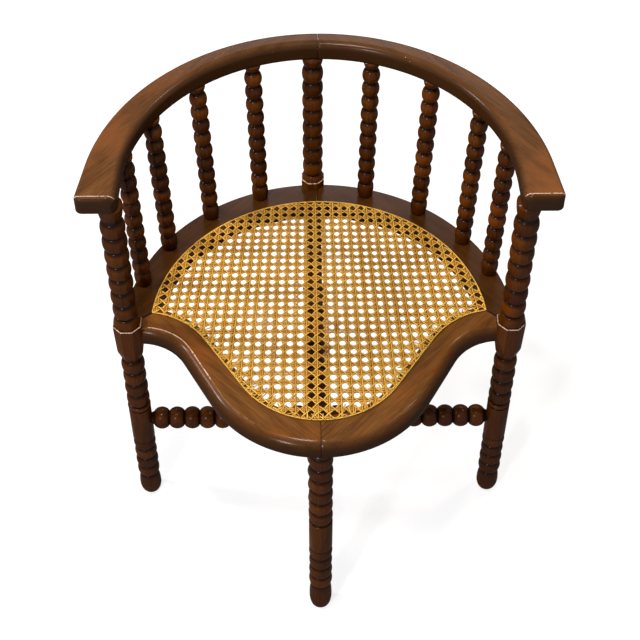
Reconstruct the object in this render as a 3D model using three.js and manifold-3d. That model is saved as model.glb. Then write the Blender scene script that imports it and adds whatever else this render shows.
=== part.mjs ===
import * as THREE from 'three';
import { mergeVertices } from 'three/addons/utils/BufferGeometryUtils.js';
import Module from 'manifold-3d';

const wasm = await Module();
wasm.setup();

// Corner chair with a round back, a caned seat and bobbin-turned posts.
// Millimetres. The floor is z = 0 and the front of the chair faces -Y.
// Plan sizes are measured from the centre of the round part of the seat.

// Fits.
const GAP = 0.3;
const WELD = 0.001;

// Seat frame.
const SEAT_HEIGHT = 425;
const SEAT_RADIUS = 293;
const RAIL_THICKNESS = 28;
const BACK_RAIL_WIDTH = 50;
const BACK_RAIL_EDGE = 3;
const NOSE_REACH = 225.2;
const NOSE_RADIUS = 181;
const NOSE_RAIL_WIDTH = 56.3;
const HOLLOW_SHARE = 0.808;
const HOLLOW_RAIL_WIDTH = 49.3;
const FRONT_RAIL_EDGE = 12;
const SHOULDER_INSET = 15;
const SHOULDER_LEAD = 8.7;

// Arms and crest.
const ARM_HEIGHT = 720;
const ARM_THICKNESS = 31;
const ARM_OVERHANG = 30.8;
const ARM_INSET = 21.4;
const ARM_OUTER_LEAD = 8.9;
const ARM_INNER_SETBACK = 14.4;
const ARM_EDGE = 7;
const OUTER_SPLAY_ANGLE = 9;
const INNER_SPLAY_ANGLE = 2;
const HAND_LEAD = 20.6;
const HAND_INNER_CORNER = 13;

// Side posts.
const POST_INSET = 8;
const POST_LEAD = 7;
const POST_BEAD = 36;
const POST_NECK = 28;
const POST_BLOCK = 42;
const POST_UPPER_BEADS = 7;
const POST_CUSHION_TOP_SHARE = 0.074;
const POST_BEADS_TOP_SHARE = 0.89;
const POST_TENON = 18;
const POST_TENON_LENGTH = 20;

// Back post, which stands a little to the left of the middle.
const BACK_POST_OUTSET = 3;
const BACK_POST_SHIFT = 7.5;
const BACK_BEAD = 32;
const BACK_NECK = 24.5;
const BACK_BLOCK = 36;
const BACK_UPPER_BEADS = 8;
const BACK_CUSHION_TOP_SHARE = 0.045;
const BACK_BEADS_TOP_SHARE = 0.93;
const BACK_TENON = 12;
const BACK_TENON_LENGTH = 13;

// Heights of both kinds of post, as shares of the seat height.
const FOOT_TOP_SHARE = 0.122;
const LOW_BEADS_TOP_SHARE = 0.361;
const PLAIN_TOP_SHARE = 0.551;
const RING_TOP_SHARE = 0.575;
const HIGH_BEADS_TOP_SHARE = 0.842;
const BLOCK_BOTTOM_SHARE = 0.9;
const LOW_BEADS = 4;
const HIGH_BEADS = 4;
const BLOCK_RISE = 15.5;
const BLOCK_CHAMFER = 1.5;
const BLOCK_TAPER_SHARE = 0.93;

// The cushion between the block and the beads above it, as shares of its height and of the block.
const CUSHION_OUTLINE_SHARES = [[0, 0.93], [0.6, 0.86]];

// Width of the plain lengths, as a share of the way from neck to bead.
const PLAIN_SWELL_SHARE = 0.75;

// Front leg.
const LEG_SETBACK = 17.9;
const LEG_RAKE = 21.2;
const LEG_BEAD = 36;
const LEG_NECK = 29;
const LEG_TENON = 18;
const LEG_TENON_LENGTH = 16;
const LEG_FOOT_TOP_SHARE = 0.138;
const LEG_LOW_BEADS_TOP_SHARE = 0.38;
const LEG_PLAIN_TOP_SHARE = 0.535;
const LEG_HIGH_BEADS_TOP_SHARE = 0.918;
const LEG_LOW_BEADS = 4;
const LEG_HIGH_BEADS = 6;

// Spindles, four to a side, set by their angles from the middle of the back.
const LEFT_SPINDLE_ANGLES = [19.1, 37.1, 55.6, 72.4];
const RIGHT_SPINDLE_ANGLES = [15.8, 34.7, 53.4, 68.7];
const SPINDLE_INSET = 12.5;
const SPINDLE_ARM_INSET = 10;
const SPINDLE_BEAD = 27;
const SPINDLE_NECK = 17;
const SPINDLE_BEADS = 9;
const SPINDLE_BASE = 22;
const SPINDLE_BASE_BULGE = 26;
const SPINDLE_BASE_BULGE_SHARE = 0.6;
const SPINDLE_BASE_TOP_SHARE = 0.107;
const SPINDLE_BEADS_TOP_SHARE = 0.955;
const SPINDLE_TENON = 12;
const SPINDLE_TENON_LENGTH = 14;

// Crossed stretchers.
const STRETCHER_HEIGHT = 200;
const STRETCHER_BEAD = 36;
const STRETCHER_NECK = 25.5;
const STRETCHER_PITCH = 25;
const STRETCHER_TENON = 15;
const STRETCHER_TENON_LENGTH = 12;
const STRETCHER_COLLAR = 4;
const CROSSING_BLOCK = 36;

// Joints in the seat frame and the crest.
const RAIL_TENON_WIDTH = 11;
const RAIL_TENON_THICKNESS = 9;
const RAIL_TENON_LENGTH = 13;
const RAIL_TENON_COVER = 3.5;
const BACK_POST_TENON_LENGTH = 14;
const BACK_POST_TENON_WIDTH = 8;
const DOWEL = 8;
const DOWEL_LENGTH = 38;
const DOWEL_COVER = 6;
const NOSE_DOWEL_SHARE = 0.24;
const BACK_DOWEL_SHARE = 0.35;

// Cane seat.
const CANE_LAP = 10;
const CANE_THICKNESS = 1.6;
const CANE_PITCH = 29;
const CANE_HOLE = 17;
const CANE_MARGIN = 5;
const BINDER_WIDTH = 4;
const BINDER_THICKNESS = 2;
const TIE = 3;
const TIES = 14;

// Roundness of the turned and sawn shapes.
const POST_FACETS = 8;
const SPINDLE_FACETS = 8;
const BLOCK_FACETS = 8;
const TIE_FACETS = 6;
const ARC_STEPS = 8;
const EDGE_STEPS = 2;
const SMALL_EDGE_STEPS = 1;
const BULLNOSE_STEPS = 3;

// One bead from neck to neck, as shares of its height and of its swell over the neck.
const BEAD_OUTLINE_SHARES = [[0, 0], [0.26, 1], [0.74, 1]];

// The ball foot, as shares of its height and of the width of a bead.
const FOOT_OUTLINE_SHARES = [[0, 0.6], [0.12, 0.84], [0.34, 0.98], [0.68, 0.98], [0.88, 0.88]];

// Places worked out from the sizes above.
const RIGHT_ANGLE = Math.PI / 2;
const RAIL_BOTTOM = SEAT_HEIGHT - RAIL_THICKNESS;
const ARM_BOTTOM = ARM_HEIGHT - ARM_THICKNESS;
const BLOCK_TOP = SEAT_HEIGHT + BLOCK_RISE;
const BEYOND = SEAT_RADIUS + SEAT_RADIUS;
const OPENING_RADIUS = SEAT_RADIUS - BACK_RAIL_WIDTH;
const ARM_OUTER_RADIUS = SEAT_RADIUS + ARM_OVERHANG;
const ARM_INNER_RADIUS = SEAT_RADIUS - ARM_INSET;
const ARM_BACK = ARM_OUTER_RADIUS - ARM_OUTER_LEAD;
const ARM_INNER_BACK = ARM_INNER_RADIUS + ARM_INNER_SETBACK;
const POST = new THREE.Vector2(SEAT_RADIUS - POST_INSET, -POST_LEAD);
const BACK_POST = new THREE.Vector2(-BACK_POST_SHIFT, SEAT_RADIUS + BACK_POST_OUTSET);
const HAND_FRONT = POST.y - HAND_LEAD;
const OUTER_SPLAY = THREE.MathUtils.degToRad(OUTER_SPLAY_ANGLE);
const INNER_SPLAY = THREE.MathUtils.degToRad(INNER_SPLAY_ANGLE);

// The front edge of the seat: a round nose, a straight run and a hollow on each side.
const NOSE = new THREE.Vector2(0, NOSE_RADIUS - NOSE_REACH);
const HOLLOW_X = POST.x - SHOULDER_INSET;
const SHOULDER_Y = POST.y - SHOULDER_LEAD;
const HOLLOW_RADIUS = HOLLOW_SHARE * touchingRadius();
const HOLLOW = new THREE.Vector2(HOLLOW_X, SHOULDER_Y - HOLLOW_RADIUS);
const SWEEP = Math.atan2(HOLLOW.y - NOSE.y, HOLLOW.x - NOSE.x);
const OPENING = seatCurve(0);
const OUTLINE = { nose: NOSE_RADIUS, hollow: HOLLOW_RADIUS };
const MITRE_INNER = curveCorner(OPENING);
const MITRE_OUTER = new THREE.Vector2(POST.x - POST_BLOCK / 2, POST.y + POST_BLOCK / 2);

// The front leg leans forward as it goes down.
const LEG_TOP = new THREE.Vector3(0, LEG_SETBACK - NOSE_REACH, SEAT_HEIGHT);
const LEG_FLOOR = new THREE.Vector3(0, LEG_TOP.y - LEG_RAKE, 0);
const CROSSING = crossingPlace();

// The two halves of the chair, each drawn as a right-hand one and then set on its side.
const RIGHT_SIDE = { backPostX: BACK_POST.x, spindleAngles: RIGHT_SPINDLE_ANGLES };
const LEFT_SIDE = { backPostX: -BACK_POST.x, spindleAngles: LEFT_SPINDLE_ANGLES };

// Radius of a hollow that would touch the nose and end square at the shoulder.
function touchingRadius() {
  const rise = SHOULDER_Y - NOSE.y;
  return (HOLLOW_X ** 2 + rise ** 2 - NOSE_RADIUS ** 2) / (2 * (NOSE_RADIUS + rise));
}

// Where the stretcher from the front leg to the back post passes the side stretcher.
function crossingPlace() {
  const start = legAxisAt(STRETCHER_HEIGHT);
  const share = (POST.y - start.y) / (BACK_POST.y - start.y);
  return new THREE.Vector3(share * BACK_POST.x, POST.y, STRETCHER_HEIGHT);
}

// Radii of a line round the seat that runs a lap outside the opening's edge.
function seatCurve(lap) {
  return {
    nose: NOSE_RADIUS - NOSE_RAIL_WIDTH + lap,
    hollow: HOLLOW_RADIUS + HOLLOW_RAIL_WIDTH - lap,
    back: OPENING_RADIUS + lap,
  };
}

// Angle that a straight run between nose and hollow takes from each of them.
function straightTurn(curve) {
  return Math.acos((curve.nose + curve.hollow) / HOLLOW.distanceTo(NOSE));
}

// The right-hand corner, where the back circle meets the hollow.
function curveCorner(curve) {
  const span = HOLLOW.length();
  const along = (curve.back ** 2 - curve.hollow ** 2 + span ** 2) / (2 * span);
  const off = Math.sqrt(curve.back ** 2 - along ** 2);
  const way = HOLLOW.clone().normalize();
  return new THREE.Vector2(way.x * along - way.y * off, way.y * along + way.x * off);
}

function wood(red, green, blue) {
  return new THREE.MeshStandardMaterial({
    color: new THREE.Color().setRGB(red, green, blue),
    roughness: 0.42,
    metalness: 0,
  });
}

function frameWood() {
  return wood(0.075, 0.026, 0.012);
}

function armWood() {
  return wood(0.11, 0.036, 0.018);
}

function dowelWood() {
  return wood(0.2, 0.11, 0.05);
}

function caneStraw() {
  return new THREE.MeshStandardMaterial({
    color: new THREE.Color().setRGB(0.55, 0.3, 0.08),
    roughness: 0.6,
    metalness: 0,
  });
}

// Closed geometry with shared corners and without faces that have shrunk to a line.
function welded(geometry) {
  const bare = geometry.clone();
  bare.deleteAttribute('normal');
  bare.deleteAttribute('uv');
  const merged = mergeVertices(bare, WELD);
  const faces = [];
  const order = merged.index.array;
  for (let i = 0; i < order.length; i += 3) {
    const [a, b, c] = [order[i], order[i + 1], order[i + 2]];
    if (a !== b && b !== c && c !== a) {
      faces.push(a, b, c);
    }
  }
  merged.setIndex(faces);
  return merged;
}

function toSolid(geometry) {
  const closed = welded(geometry);
  return new wasm.Manifold(new wasm.Mesh({
    numProp: 3,
    vertProperties: closed.attributes.position.array,
    triVerts: new Uint32Array(closed.index.array),
  }));
}

function toGeometry(solid) {
  const mesh = solid.getMesh();
  const geometry = new THREE.BufferGeometry();
  geometry.setAttribute('position', new THREE.BufferAttribute(mesh.vertProperties, 3));
  geometry.setIndex(new THREE.BufferAttribute(mesh.triVerts, 1));
  geometry.computeVertexNormals();
  return geometry;
}

function cutFrom(solid, cutters) {
  return cutters.reduce((rest, cutter) => rest.subtract(cutter), solid);
}

function joined(solids) {
  return solids.reduce((whole, piece) => whole.add(piece));
}

// Left-hand copy of a right-hand geometry.
function mirrored(geometry) {
  const copy = geometry.clone();
  copy.scale(-1, 1, 1);
  const order = copy.index.array;
  for (let i = 0; i < order.length; i += 3) {
    [order[i + 1], order[i + 2]] = [order[i + 2], order[i + 1]];
  }
  copy.computeVertexNormals();
  return copy;
}

// Turned solid along Z from pairs of radius and height, closed at both ends.
function turned(outline, facets) {
  const points = outline.map(([radius, height]) => new THREE.Vector2(radius, height));
  const first = points[0];
  const last = points[points.length - 1];
  const closed = [new THREE.Vector2(0, first.y), ...points, new THREE.Vector2(0, last.y)];
  return new THREE.LatheGeometry(closed, facets).rotateX(RIGHT_ANGLE);
}

function drum(diameter, bottom, top, facets) {
  return turned([[diameter / 2, bottom], [diameter / 2, top]], facets);
}

// Turns a shape made along Z so that it points from one place to another.
function aimed(geometry, from, to) {
  const way = to.clone().sub(from).normalize();
  const turn = new THREE.Quaternion().setFromUnitVectors(new THREE.Vector3(0, 0, 1), way);
  return geometry.clone().applyQuaternion(turn).translate(from.x, from.y, from.z);
}

function box(min, max) {
  const size = max.clone().sub(min);
  const middle = min.clone().add(max).multiplyScalar(1 / 2);
  return new THREE.BoxGeometry(size.x, size.y, size.z).translate(middle.x, middle.y, middle.z);
}

// Drops points of a closed line that lie on top of the next one.
function distinct(points) {
  return points.filter((point, i) => point.distanceTo(points[(i + 1) % points.length]) > WELD);
}

function extruded(shape, bottom, top, edge, steps) {
  const lines = shape.extractPoints(ARC_STEPS);
  const plan = new THREE.Shape(distinct(lines.shape));
  plan.holes = lines.holes.map((hole) => new THREE.Path(distinct(hole)));
  const geometry = new THREE.ExtrudeGeometry(plan, {
    depth: top - bottom - edge - edge,
    bevelEnabled: edge > 0,
    bevelThickness: edge,
    bevelSize: edge,
    bevelOffset: -edge,
    bevelSegments: steps,
  });
  return geometry.translate(0, 0, bottom + edge);
}

// Everything on the left of a level line, from the floor up past the arms.
function leftOf(from, to, clearance) {
  const way = to.clone().sub(from).normalize();
  const side = new THREE.Vector2(-way.y, way.x);
  const start = from.clone().addScaledVector(way, -BEYOND).addScaledVector(side, -clearance);
  const end = from.clone().addScaledVector(way, BEYOND).addScaledVector(side, -clearance);
  const far = side.clone().multiplyScalar(BEYOND);
  const shape = new THREE.Shape([start, end, end.clone().add(far), start.clone().add(far)]);
  return toSolid(extruded(shape, -BEYOND, BEYOND + BEYOND, 0, EDGE_STEPS));
}

// The left half of space, up to the joint in the middle of the chair.
function leftHalf() {
  return leftOf(new THREE.Vector2(0, 0), new THREE.Vector2(0, 1), GAP / 2);
}

function slab(bottom, top) {
  const low = new THREE.Vector3(-BEYOND, -BEYOND, bottom);
  return toSolid(box(low, new THREE.Vector3(BEYOND, BEYOND, top)));
}

// A run of beads that touch one another at their necks.
function beads(bottom, top, count, bead, neck) {
  const pitch = (top - bottom) / count;
  const outline = [];
  for (let i = 0; i < count; i += 1) {
    for (const [rise, swell] of BEAD_OUTLINE_SHARES) {
      outline.push([(neck + swell * (bead - neck)) / 2, bottom + (i + rise) * pitch]);
    }
  }
  return outline;
}

// Ball foot with a flat underside.
function ballFoot(top, bead) {
  return FOOT_OUTLINE_SHARES.map(([rise, width]) => [width * bead / 2, rise * top]);
}

// Turned cushion on top of the block.
function cushion(top, block) {
  return CUSHION_OUTLINE_SHARES.map(([rise, width]) => {
    return [width * block / 2, BLOCK_TOP + rise * (top - BLOCK_TOP)];
  });
}

// Outline of a whole post, from the floor to its tenon in the arm.
function postOutline(post) {
  const space = ARM_BOTTOM - BLOCK_TOP;
  const lowTop = LOW_BEADS_TOP_SHARE * SEAT_HEIGHT;
  const plainTop = PLAIN_TOP_SHARE * SEAT_HEIGHT;
  const ringTop = RING_TOP_SHARE * SEAT_HEIGHT;
  const highTop = HIGH_BEADS_TOP_SHARE * SEAT_HEIGHT;
  const footTop = FOOT_TOP_SHARE * SEAT_HEIGHT;
  const cushionTop = BLOCK_TOP + post.cushionTopShare * space;
  const upperTop = BLOCK_TOP + post.beadsTopShare * space;
  const plain = plainWidth(post.bead, post.neck) / 2;
  return [
    ...ballFoot(footTop, post.bead),
    ...beads(footTop, lowTop, LOW_BEADS, post.bead, post.neck),
    [post.neck / 2, lowTop],
    [plain, lowTop + GAP],
    [plain, plainTop],
    ...beads(plainTop + GAP, ringTop, 1, post.bead, post.neck),
    ...beads(ringTop, highTop, HIGH_BEADS, post.bead, post.neck),
    [post.neck / 2, highTop],
    ...cushion(cushionTop, post.block),
    ...beads(cushionTop, upperTop, post.upperBeads, post.bead, post.neck),
    [post.neck / 2, upperTop],
    [post.bead / 2, ARM_BOTTOM - GAP],
    [post.tenon / 2, ARM_BOTTOM - GAP],
    [post.tenon / 2, ARM_BOTTOM + post.tenonLength],
  ];
}

function sidePostSizes() {
  return {
    bead: POST_BEAD,
    neck: POST_NECK,
    block: POST_BLOCK,
    upperBeads: POST_UPPER_BEADS,
    cushionTopShare: POST_CUSHION_TOP_SHARE,
    beadsTopShare: POST_BEADS_TOP_SHARE,
    tenon: POST_TENON,
    tenonLength: POST_TENON_LENGTH,
  };
}

function backPostSizes() {
  return {
    bead: BACK_BEAD,
    neck: BACK_NECK,
    block: BACK_BLOCK,
    upperBeads: BACK_UPPER_BEADS,
    cushionTopShare: BACK_CUSHION_TOP_SHARE,
    beadsTopShare: BACK_BEADS_TOP_SHARE,
    tenon: BACK_TENON,
    tenonLength: BACK_TENON_LENGTH,
  };
}

// Eight-sided block that takes the seat rails. It narrows a little downwards.
function block(acrossFlats, neck, clearance) {
  const corner = 1 / Math.cos(Math.PI / BLOCK_FACETS);
  const top = (acrossFlats / 2 + clearance) * corner;
  const bottom = (BLOCK_TAPER_SHARE * acrossFlats / 2 + clearance) * corner;
  const outline = [
    [neck / 2 + clearance, HIGH_BEADS_TOP_SHARE * SEAT_HEIGHT - clearance],
    [bottom, BLOCK_BOTTOM_SHARE * SEAT_HEIGHT],
    [top, BLOCK_TOP - BLOCK_CHAMFER],
    [top - BLOCK_CHAMFER, BLOCK_TOP + clearance],
  ];
  return turned(outline, BLOCK_FACETS).rotateZ(Math.PI / BLOCK_FACETS);
}

function sideBlock(clearance) {
  return toSolid(block(POST_BLOCK, POST_NECK, clearance).translate(POST.x, POST.y, 0));
}

function backBlock(x, clearance) {
  return toSolid(block(BACK_BLOCK, BACK_NECK, clearance).translate(x, BACK_POST.y, 0));
}

// Tenons of the seat rails, grown by a clearance for their mortises.
function backRailTenon(clearance) {
  const top = SEAT_HEIGHT - RAIL_TENON_COVER;
  const face = POST.y + POST_BLOCK / 2;
  const low = new THREE.Vector3(
    POST.x - RAIL_TENON_WIDTH / 2 - clearance,
    face - RAIL_TENON_LENGTH - clearance,
    top - RAIL_TENON_THICKNESS - clearance,
  );
  const high = new THREE.Vector3(POST.x + RAIL_TENON_WIDTH / 2 + clearance, face + POST_BLOCK, top + clearance);
  return toSolid(box(low, high));
}

function frontRailTenon(clearance) {
  const bottom = RAIL_BOTTOM + RAIL_TENON_COVER;
  const face = POST.x - POST_BLOCK / 2;
  const low = new THREE.Vector3(
    face - RAIL_TENON_WIDTH,
    POST.y - RAIL_TENON_WIDTH / 2 - clearance,
    bottom - clearance,
  );
  const high = new THREE.Vector3(
    face + RAIL_TENON_LENGTH + clearance,
    POST.y + RAIL_TENON_WIDTH / 2 + clearance,
    bottom + RAIL_TENON_THICKNESS + clearance,
  );
  return toSolid(box(low, high));
}

function backPostTenon(x, clearance) {
  const middle = (RAIL_BOTTOM + SEAT_HEIGHT) / 2;
  const face = x + BACK_BLOCK / 2;
  const near = BACK_POST.y - BACK_POST_TENON_WIDTH - BACK_BLOCK / 6;
  const low = new THREE.Vector3(
    face - BACK_POST_TENON_LENGTH - clearance,
    near - clearance,
    middle - RAIL_TENON_THICKNESS / 2 - clearance,
  );
  const high = new THREE.Vector3(
    face + BACK_POST_TENON_WIDTH,
    near + BACK_POST_TENON_WIDTH + clearance,
    middle + RAIL_TENON_THICKNESS / 2 + clearance,
  );
  return toSolid(box(low, high));
}

// Spindle foot on the seat rail and head under the arm, at one angle from the back.
function spindleEnds(degrees) {
  const angle = THREE.MathUtils.degToRad(degrees);
  const way = new THREE.Vector2(Math.sin(angle), Math.cos(angle));
  const foot = way.clone().multiplyScalar(SEAT_RADIUS - SPINDLE_INSET);
  const offset = ARM_INNER_SETBACK * way.x;
  const border = ARM_INNER_SETBACK * way.y + Math.sqrt(ARM_INNER_RADIUS ** 2 - offset ** 2);
  const head = way.clone().multiplyScalar(border + SPINDLE_ARM_INSET);
  return {
    foot: new THREE.Vector3(foot.x, foot.y, SEAT_HEIGHT),
    head: new THREE.Vector3(head.x, head.y, ARM_BOTTOM),
  };
}

function spindleTenons(degrees, clearance) {
  const { foot, head } = spindleEnds(degrees);
  const length = foot.distanceTo(head);
  const reach = SPINDLE_TENON_LENGTH + clearance;
  const width = SPINDLE_TENON + 2 * clearance;
  return toSolid(aimed(drum(width, -reach, length + reach, SPINDLE_FACETS), foot, head));
}

function spindleSolid(degrees) {
  const { foot, head } = spindleEnds(degrees);
  const length = foot.distanceTo(head);
  const baseTop = SPINDLE_BASE_TOP_SHARE * length;
  const beadsTop = SPINDLE_BEADS_TOP_SHARE * length;
  const outline = [
    [SPINDLE_BASE / 2, -SPINDLE_BASE],
    [SPINDLE_BASE / 2, 0],
    [SPINDLE_BASE_BULGE / 2, SPINDLE_BASE_BULGE_SHARE * baseTop],
    ...beads(baseTop, beadsTop, SPINDLE_BEADS, SPINDLE_BEAD, SPINDLE_NECK),
    [SPINDLE_NECK / 2, beadsTop],
    [SPINDLE_BASE / 2, length],
    [SPINDLE_BASE / 2, length + SPINDLE_BASE],
  ];
  const shaft = toSolid(aimed(turned(outline, SPINDLE_FACETS), foot, head));
  const trimmed = cutFrom(shaft, [slab(-BEYOND, SEAT_HEIGHT + GAP), slab(ARM_BOTTOM - GAP, BEYOND + BEYOND)]);
  return trimmed.add(spindleTenons(degrees, 0));
}

// A stretcher runs between two places, with a run of beads either side of its square middle.
function stretcherOutline(from, to, nearEnd, farEnd) {
  const middle = from.distanceTo(CROSSING);
  const length = from.distanceTo(to);
  const half = CROSSING_BLOCK / 2;
  const nearCount = Math.round((middle - half - nearEnd) / STRETCHER_PITCH);
  const farCount = Math.round((length - farEnd - middle - half) / STRETCHER_PITCH);
  return [
    [STRETCHER_TENON / 2, nearEnd - STRETCHER_COLLAR - STRETCHER_TENON_LENGTH],
    [STRETCHER_TENON / 2, nearEnd - STRETCHER_COLLAR],
    [STRETCHER_NECK / 2, nearEnd],
    ...beads(nearEnd, middle - half, nearCount, STRETCHER_BEAD, STRETCHER_NECK).slice(1),
    [STRETCHER_NECK / 2, middle - half],
    ...beads(middle + half, length - farEnd, farCount, STRETCHER_BEAD, STRETCHER_NECK),
    [STRETCHER_NECK / 2, length - farEnd],
    [STRETCHER_TENON / 2, length - farEnd + STRETCHER_COLLAR],
    [STRETCHER_TENON / 2, length - farEnd + STRETCHER_COLLAR + STRETCHER_TENON_LENGTH],
  ];
}

function legAxisAt(height) {
  return LEG_TOP.clone().lerp(LEG_FLOOR, (SEAT_HEIGHT - height) / SEAT_HEIGHT);
}

function sideStretcherEnds() {
  const end = new THREE.Vector3(POST.x, POST.y, STRETCHER_HEIGHT);
  return { from: new THREE.Vector3(-POST.x, POST.y, STRETCHER_HEIGHT), to: end };
}

function foreStretcherEnds() {
  const end = new THREE.Vector3(BACK_POST.x, BACK_POST.y, STRETCHER_HEIGHT);
  return { from: legAxisAt(STRETCHER_HEIGHT), to: end };
}

// Tenon holes for one stretcher, bored into the legs at both of its ends.
function stretcherHoles({ from, to }, nearWidth, farWidth) {
  const length = from.distanceTo(to);
  const near = nearWidth / 2 - STRETCHER_TENON_LENGTH;
  const far = length - farWidth / 2 + STRETCHER_TENON_LENGTH;
  const width = STRETCHER_TENON + 2 * GAP;
  return toSolid(aimed(drum(width, near - GAP, far + GAP, SPINDLE_FACETS), from, to));
}

function crossingBox(low, high, clearance) {
  const half = CROSSING_BLOCK / 2 + clearance;
  const min = new THREE.Vector3(CROSSING.x - half, CROSSING.y - half, low);
  return toSolid(box(min, new THREE.Vector3(CROSSING.x + half, CROSSING.y + half, high)));
}

function plainWidth(bead, neck) {
  return neck + PLAIN_SWELL_SHARE * (bead - neck);
}

function stretcherSolid({ from, to }, nearWidth, farWidth, keepsTop) {
  const nearEnd = nearWidth / 2 + STRETCHER_COLLAR;
  const farEnd = farWidth / 2 + STRETCHER_COLLAR;
  const outline = stretcherOutline(from, to, nearEnd, farEnd);
  const half = CROSSING_BLOCK / 2;
  const rod = toSolid(aimed(turned(outline, SPINDLE_FACETS), from, to));
  const low = STRETCHER_HEIGHT - half;
  const high = STRETCHER_HEIGHT + half;
  const whole = rod.add(crossingBox(low, high, 0));
  const cutLow = keepsTop ? low - GAP : STRETCHER_HEIGHT - GAP / 2;
  const cutHigh = keepsTop ? STRETCHER_HEIGHT + GAP / 2 : high + GAP;
  return whole.subtract(crossingBox(cutLow, cutHigh, GAP));
}

function sideStretcher() {
  const width = plainWidth(POST_BEAD, POST_NECK);
  return toGeometry(stretcherSolid(sideStretcherEnds(), width, width, true));
}

// The collar stands off the leaning front leg by as much as the leg leans across it.
function foreStretcher() {
  const lean = STRETCHER_NECK * LEG_RAKE / SEAT_HEIGHT;
  const near = plainWidth(LEG_BEAD, LEG_NECK) + lean;
  const far = plainWidth(BACK_BEAD, BACK_NECK);
  return toGeometry(stretcherSolid(foreStretcherEnds(), near, far, false));
}

function sideStretcherHoles() {
  const width = plainWidth(POST_BEAD, POST_NECK);
  return stretcherHoles(sideStretcherEnds(), width, width);
}

function foreStretcherHoles() {
  return stretcherHoles(foreStretcherEnds(), plainWidth(LEG_BEAD, LEG_NECK), plainWidth(BACK_BEAD, BACK_NECK));
}

function sidePost() {
  const shaft = toSolid(turned(postOutline(sidePostSizes()), POST_FACETS).translate(POST.x, POST.y, 0));
  const body = shaft.add(sideBlock(0));
  return toGeometry(cutFrom(body, [backRailTenon(GAP), frontRailTenon(GAP), sideStretcherHoles()]));
}

function backPost() {
  const turning = turned(postOutline(backPostSizes()), POST_FACETS);
  const shaft = toSolid(turning.translate(BACK_POST.x, BACK_POST.y, 0));
  const body = shaft.add(backBlock(BACK_POST.x, 0));
  const left = toGeometry(backPostTenon(LEFT_SIDE.backPostX, GAP));
  const mortises = [backPostTenon(RIGHT_SIDE.backPostX, GAP), toSolid(mirrored(left))];
  return toGeometry(cutFrom(body, [...mortises, foreStretcherHoles()]));
}

// Front leg: a raked turned shaft, cut level at the floor and under the seat.
function legTenon(clearance) {
  const top = legAxisAt(RAIL_BOTTOM + LEG_TENON_LENGTH + clearance);
  const start = legAxisAt(RAIL_BOTTOM - LEG_TENON_LENGTH);
  const width = LEG_TENON + 2 * clearance;
  return toSolid(aimed(drum(width, 0, start.distanceTo(top), POST_FACETS), start, top));
}

function frontLeg() {
  const length = LEG_FLOOR.distanceTo(LEG_TOP);
  const footTop = LEG_FOOT_TOP_SHARE * length;
  const lowTop = LEG_LOW_BEADS_TOP_SHARE * length;
  const plainTop = LEG_PLAIN_TOP_SHARE * length;
  const highTop = LEG_HIGH_BEADS_TOP_SHARE * length;
  const plain = plainWidth(LEG_BEAD, LEG_NECK) / 2;
  const foot = ballFoot(footTop, LEG_BEAD);
  const outline = [
    [foot[0][0], -BLOCK_CHAMFER],
    ...foot,
    ...beads(footTop, lowTop, LEG_LOW_BEADS, LEG_BEAD, LEG_NECK),
    [LEG_NECK / 2, lowTop],
    [plain, lowTop + GAP],
    [plain, plainTop - GAP],
    ...beads(plainTop, highTop, LEG_HIGH_BEADS, LEG_BEAD, LEG_NECK),
    [LEG_NECK / 2, highTop],
    [plain, RAIL_BOTTOM],
    [plain, length],
  ];
  const shaft = toSolid(aimed(turned(outline, POST_FACETS), LEG_FLOOR, LEG_TOP));
  const level = cutFrom(shaft, [slab(-BEYOND, 0), slab(RAIL_BOTTOM - GAP, BEYOND)]);
  return toGeometry(level.add(legTenon(0)).subtract(foreStretcherHoles()));
}

// Dowels lie across the joints in the middle of the crest, the nose and the back rail.
function dowelAt(y, z, clearance) {
  const reach = DOWEL_LENGTH / 2 + clearance;
  const from = new THREE.Vector3(0, y, z);
  const to = new THREE.Vector3(1, y, z);
  return aimed(drum(DOWEL + 2 * clearance, -reach, reach, SPINDLE_FACETS), from, to);
}

function crestDowel(clearance) {
  return dowelAt((ARM_BACK + ARM_INNER_BACK) / 2, ARM_HEIGHT - DOWEL_COVER - DOWEL / 2, clearance);
}

function noseDowel(clearance) {
  const inner = NOSE_RAIL_WIDTH - NOSE_REACH;
  return dowelAt(inner - NOSE_DOWEL_SHARE * NOSE_RAIL_WIDTH, (RAIL_BOTTOM + SEAT_HEIGHT) / 2, clearance);
}

function backDowel(clearance) {
  const y = OPENING_RADIUS + BACK_DOWEL_SHARE * BACK_RAIL_WIDTH;
  return dowelAt(y, (RAIL_BOTTOM + SEAT_HEIGHT) / 2, clearance);
}

// Draws the right-hand side of the front edge's inner line, from the nose outwards.
function drawInnerFront(shape, curve) {
  const turn = straightTurn(curve);
  shape.moveTo(-BACK_RAIL_WIDTH, NOSE.y - curve.nose);
  shape.lineTo(NOSE.x, NOSE.y - curve.nose);
  shape.absarc(NOSE.x, NOSE.y, curve.nose, -RIGHT_ANGLE, SWEEP - turn, false);
  shape.absarc(HOLLOW.x, HOLLOW.y, curve.hollow, SWEEP + Math.PI - turn, RIGHT_ANGLE, true);
}

function frontOpening() {
  const shape = new THREE.Shape();
  drawInnerFront(shape, OPENING);
  shape.lineTo(HOLLOW.x, SEAT_RADIUS);
  shape.lineTo(-BACK_RAIL_WIDTH, SEAT_RADIUS);
  return toSolid(extruded(shape, RAIL_BOTTOM - GAP, SEAT_HEIGHT + GAP, 0, EDGE_STEPS));
}

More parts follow.
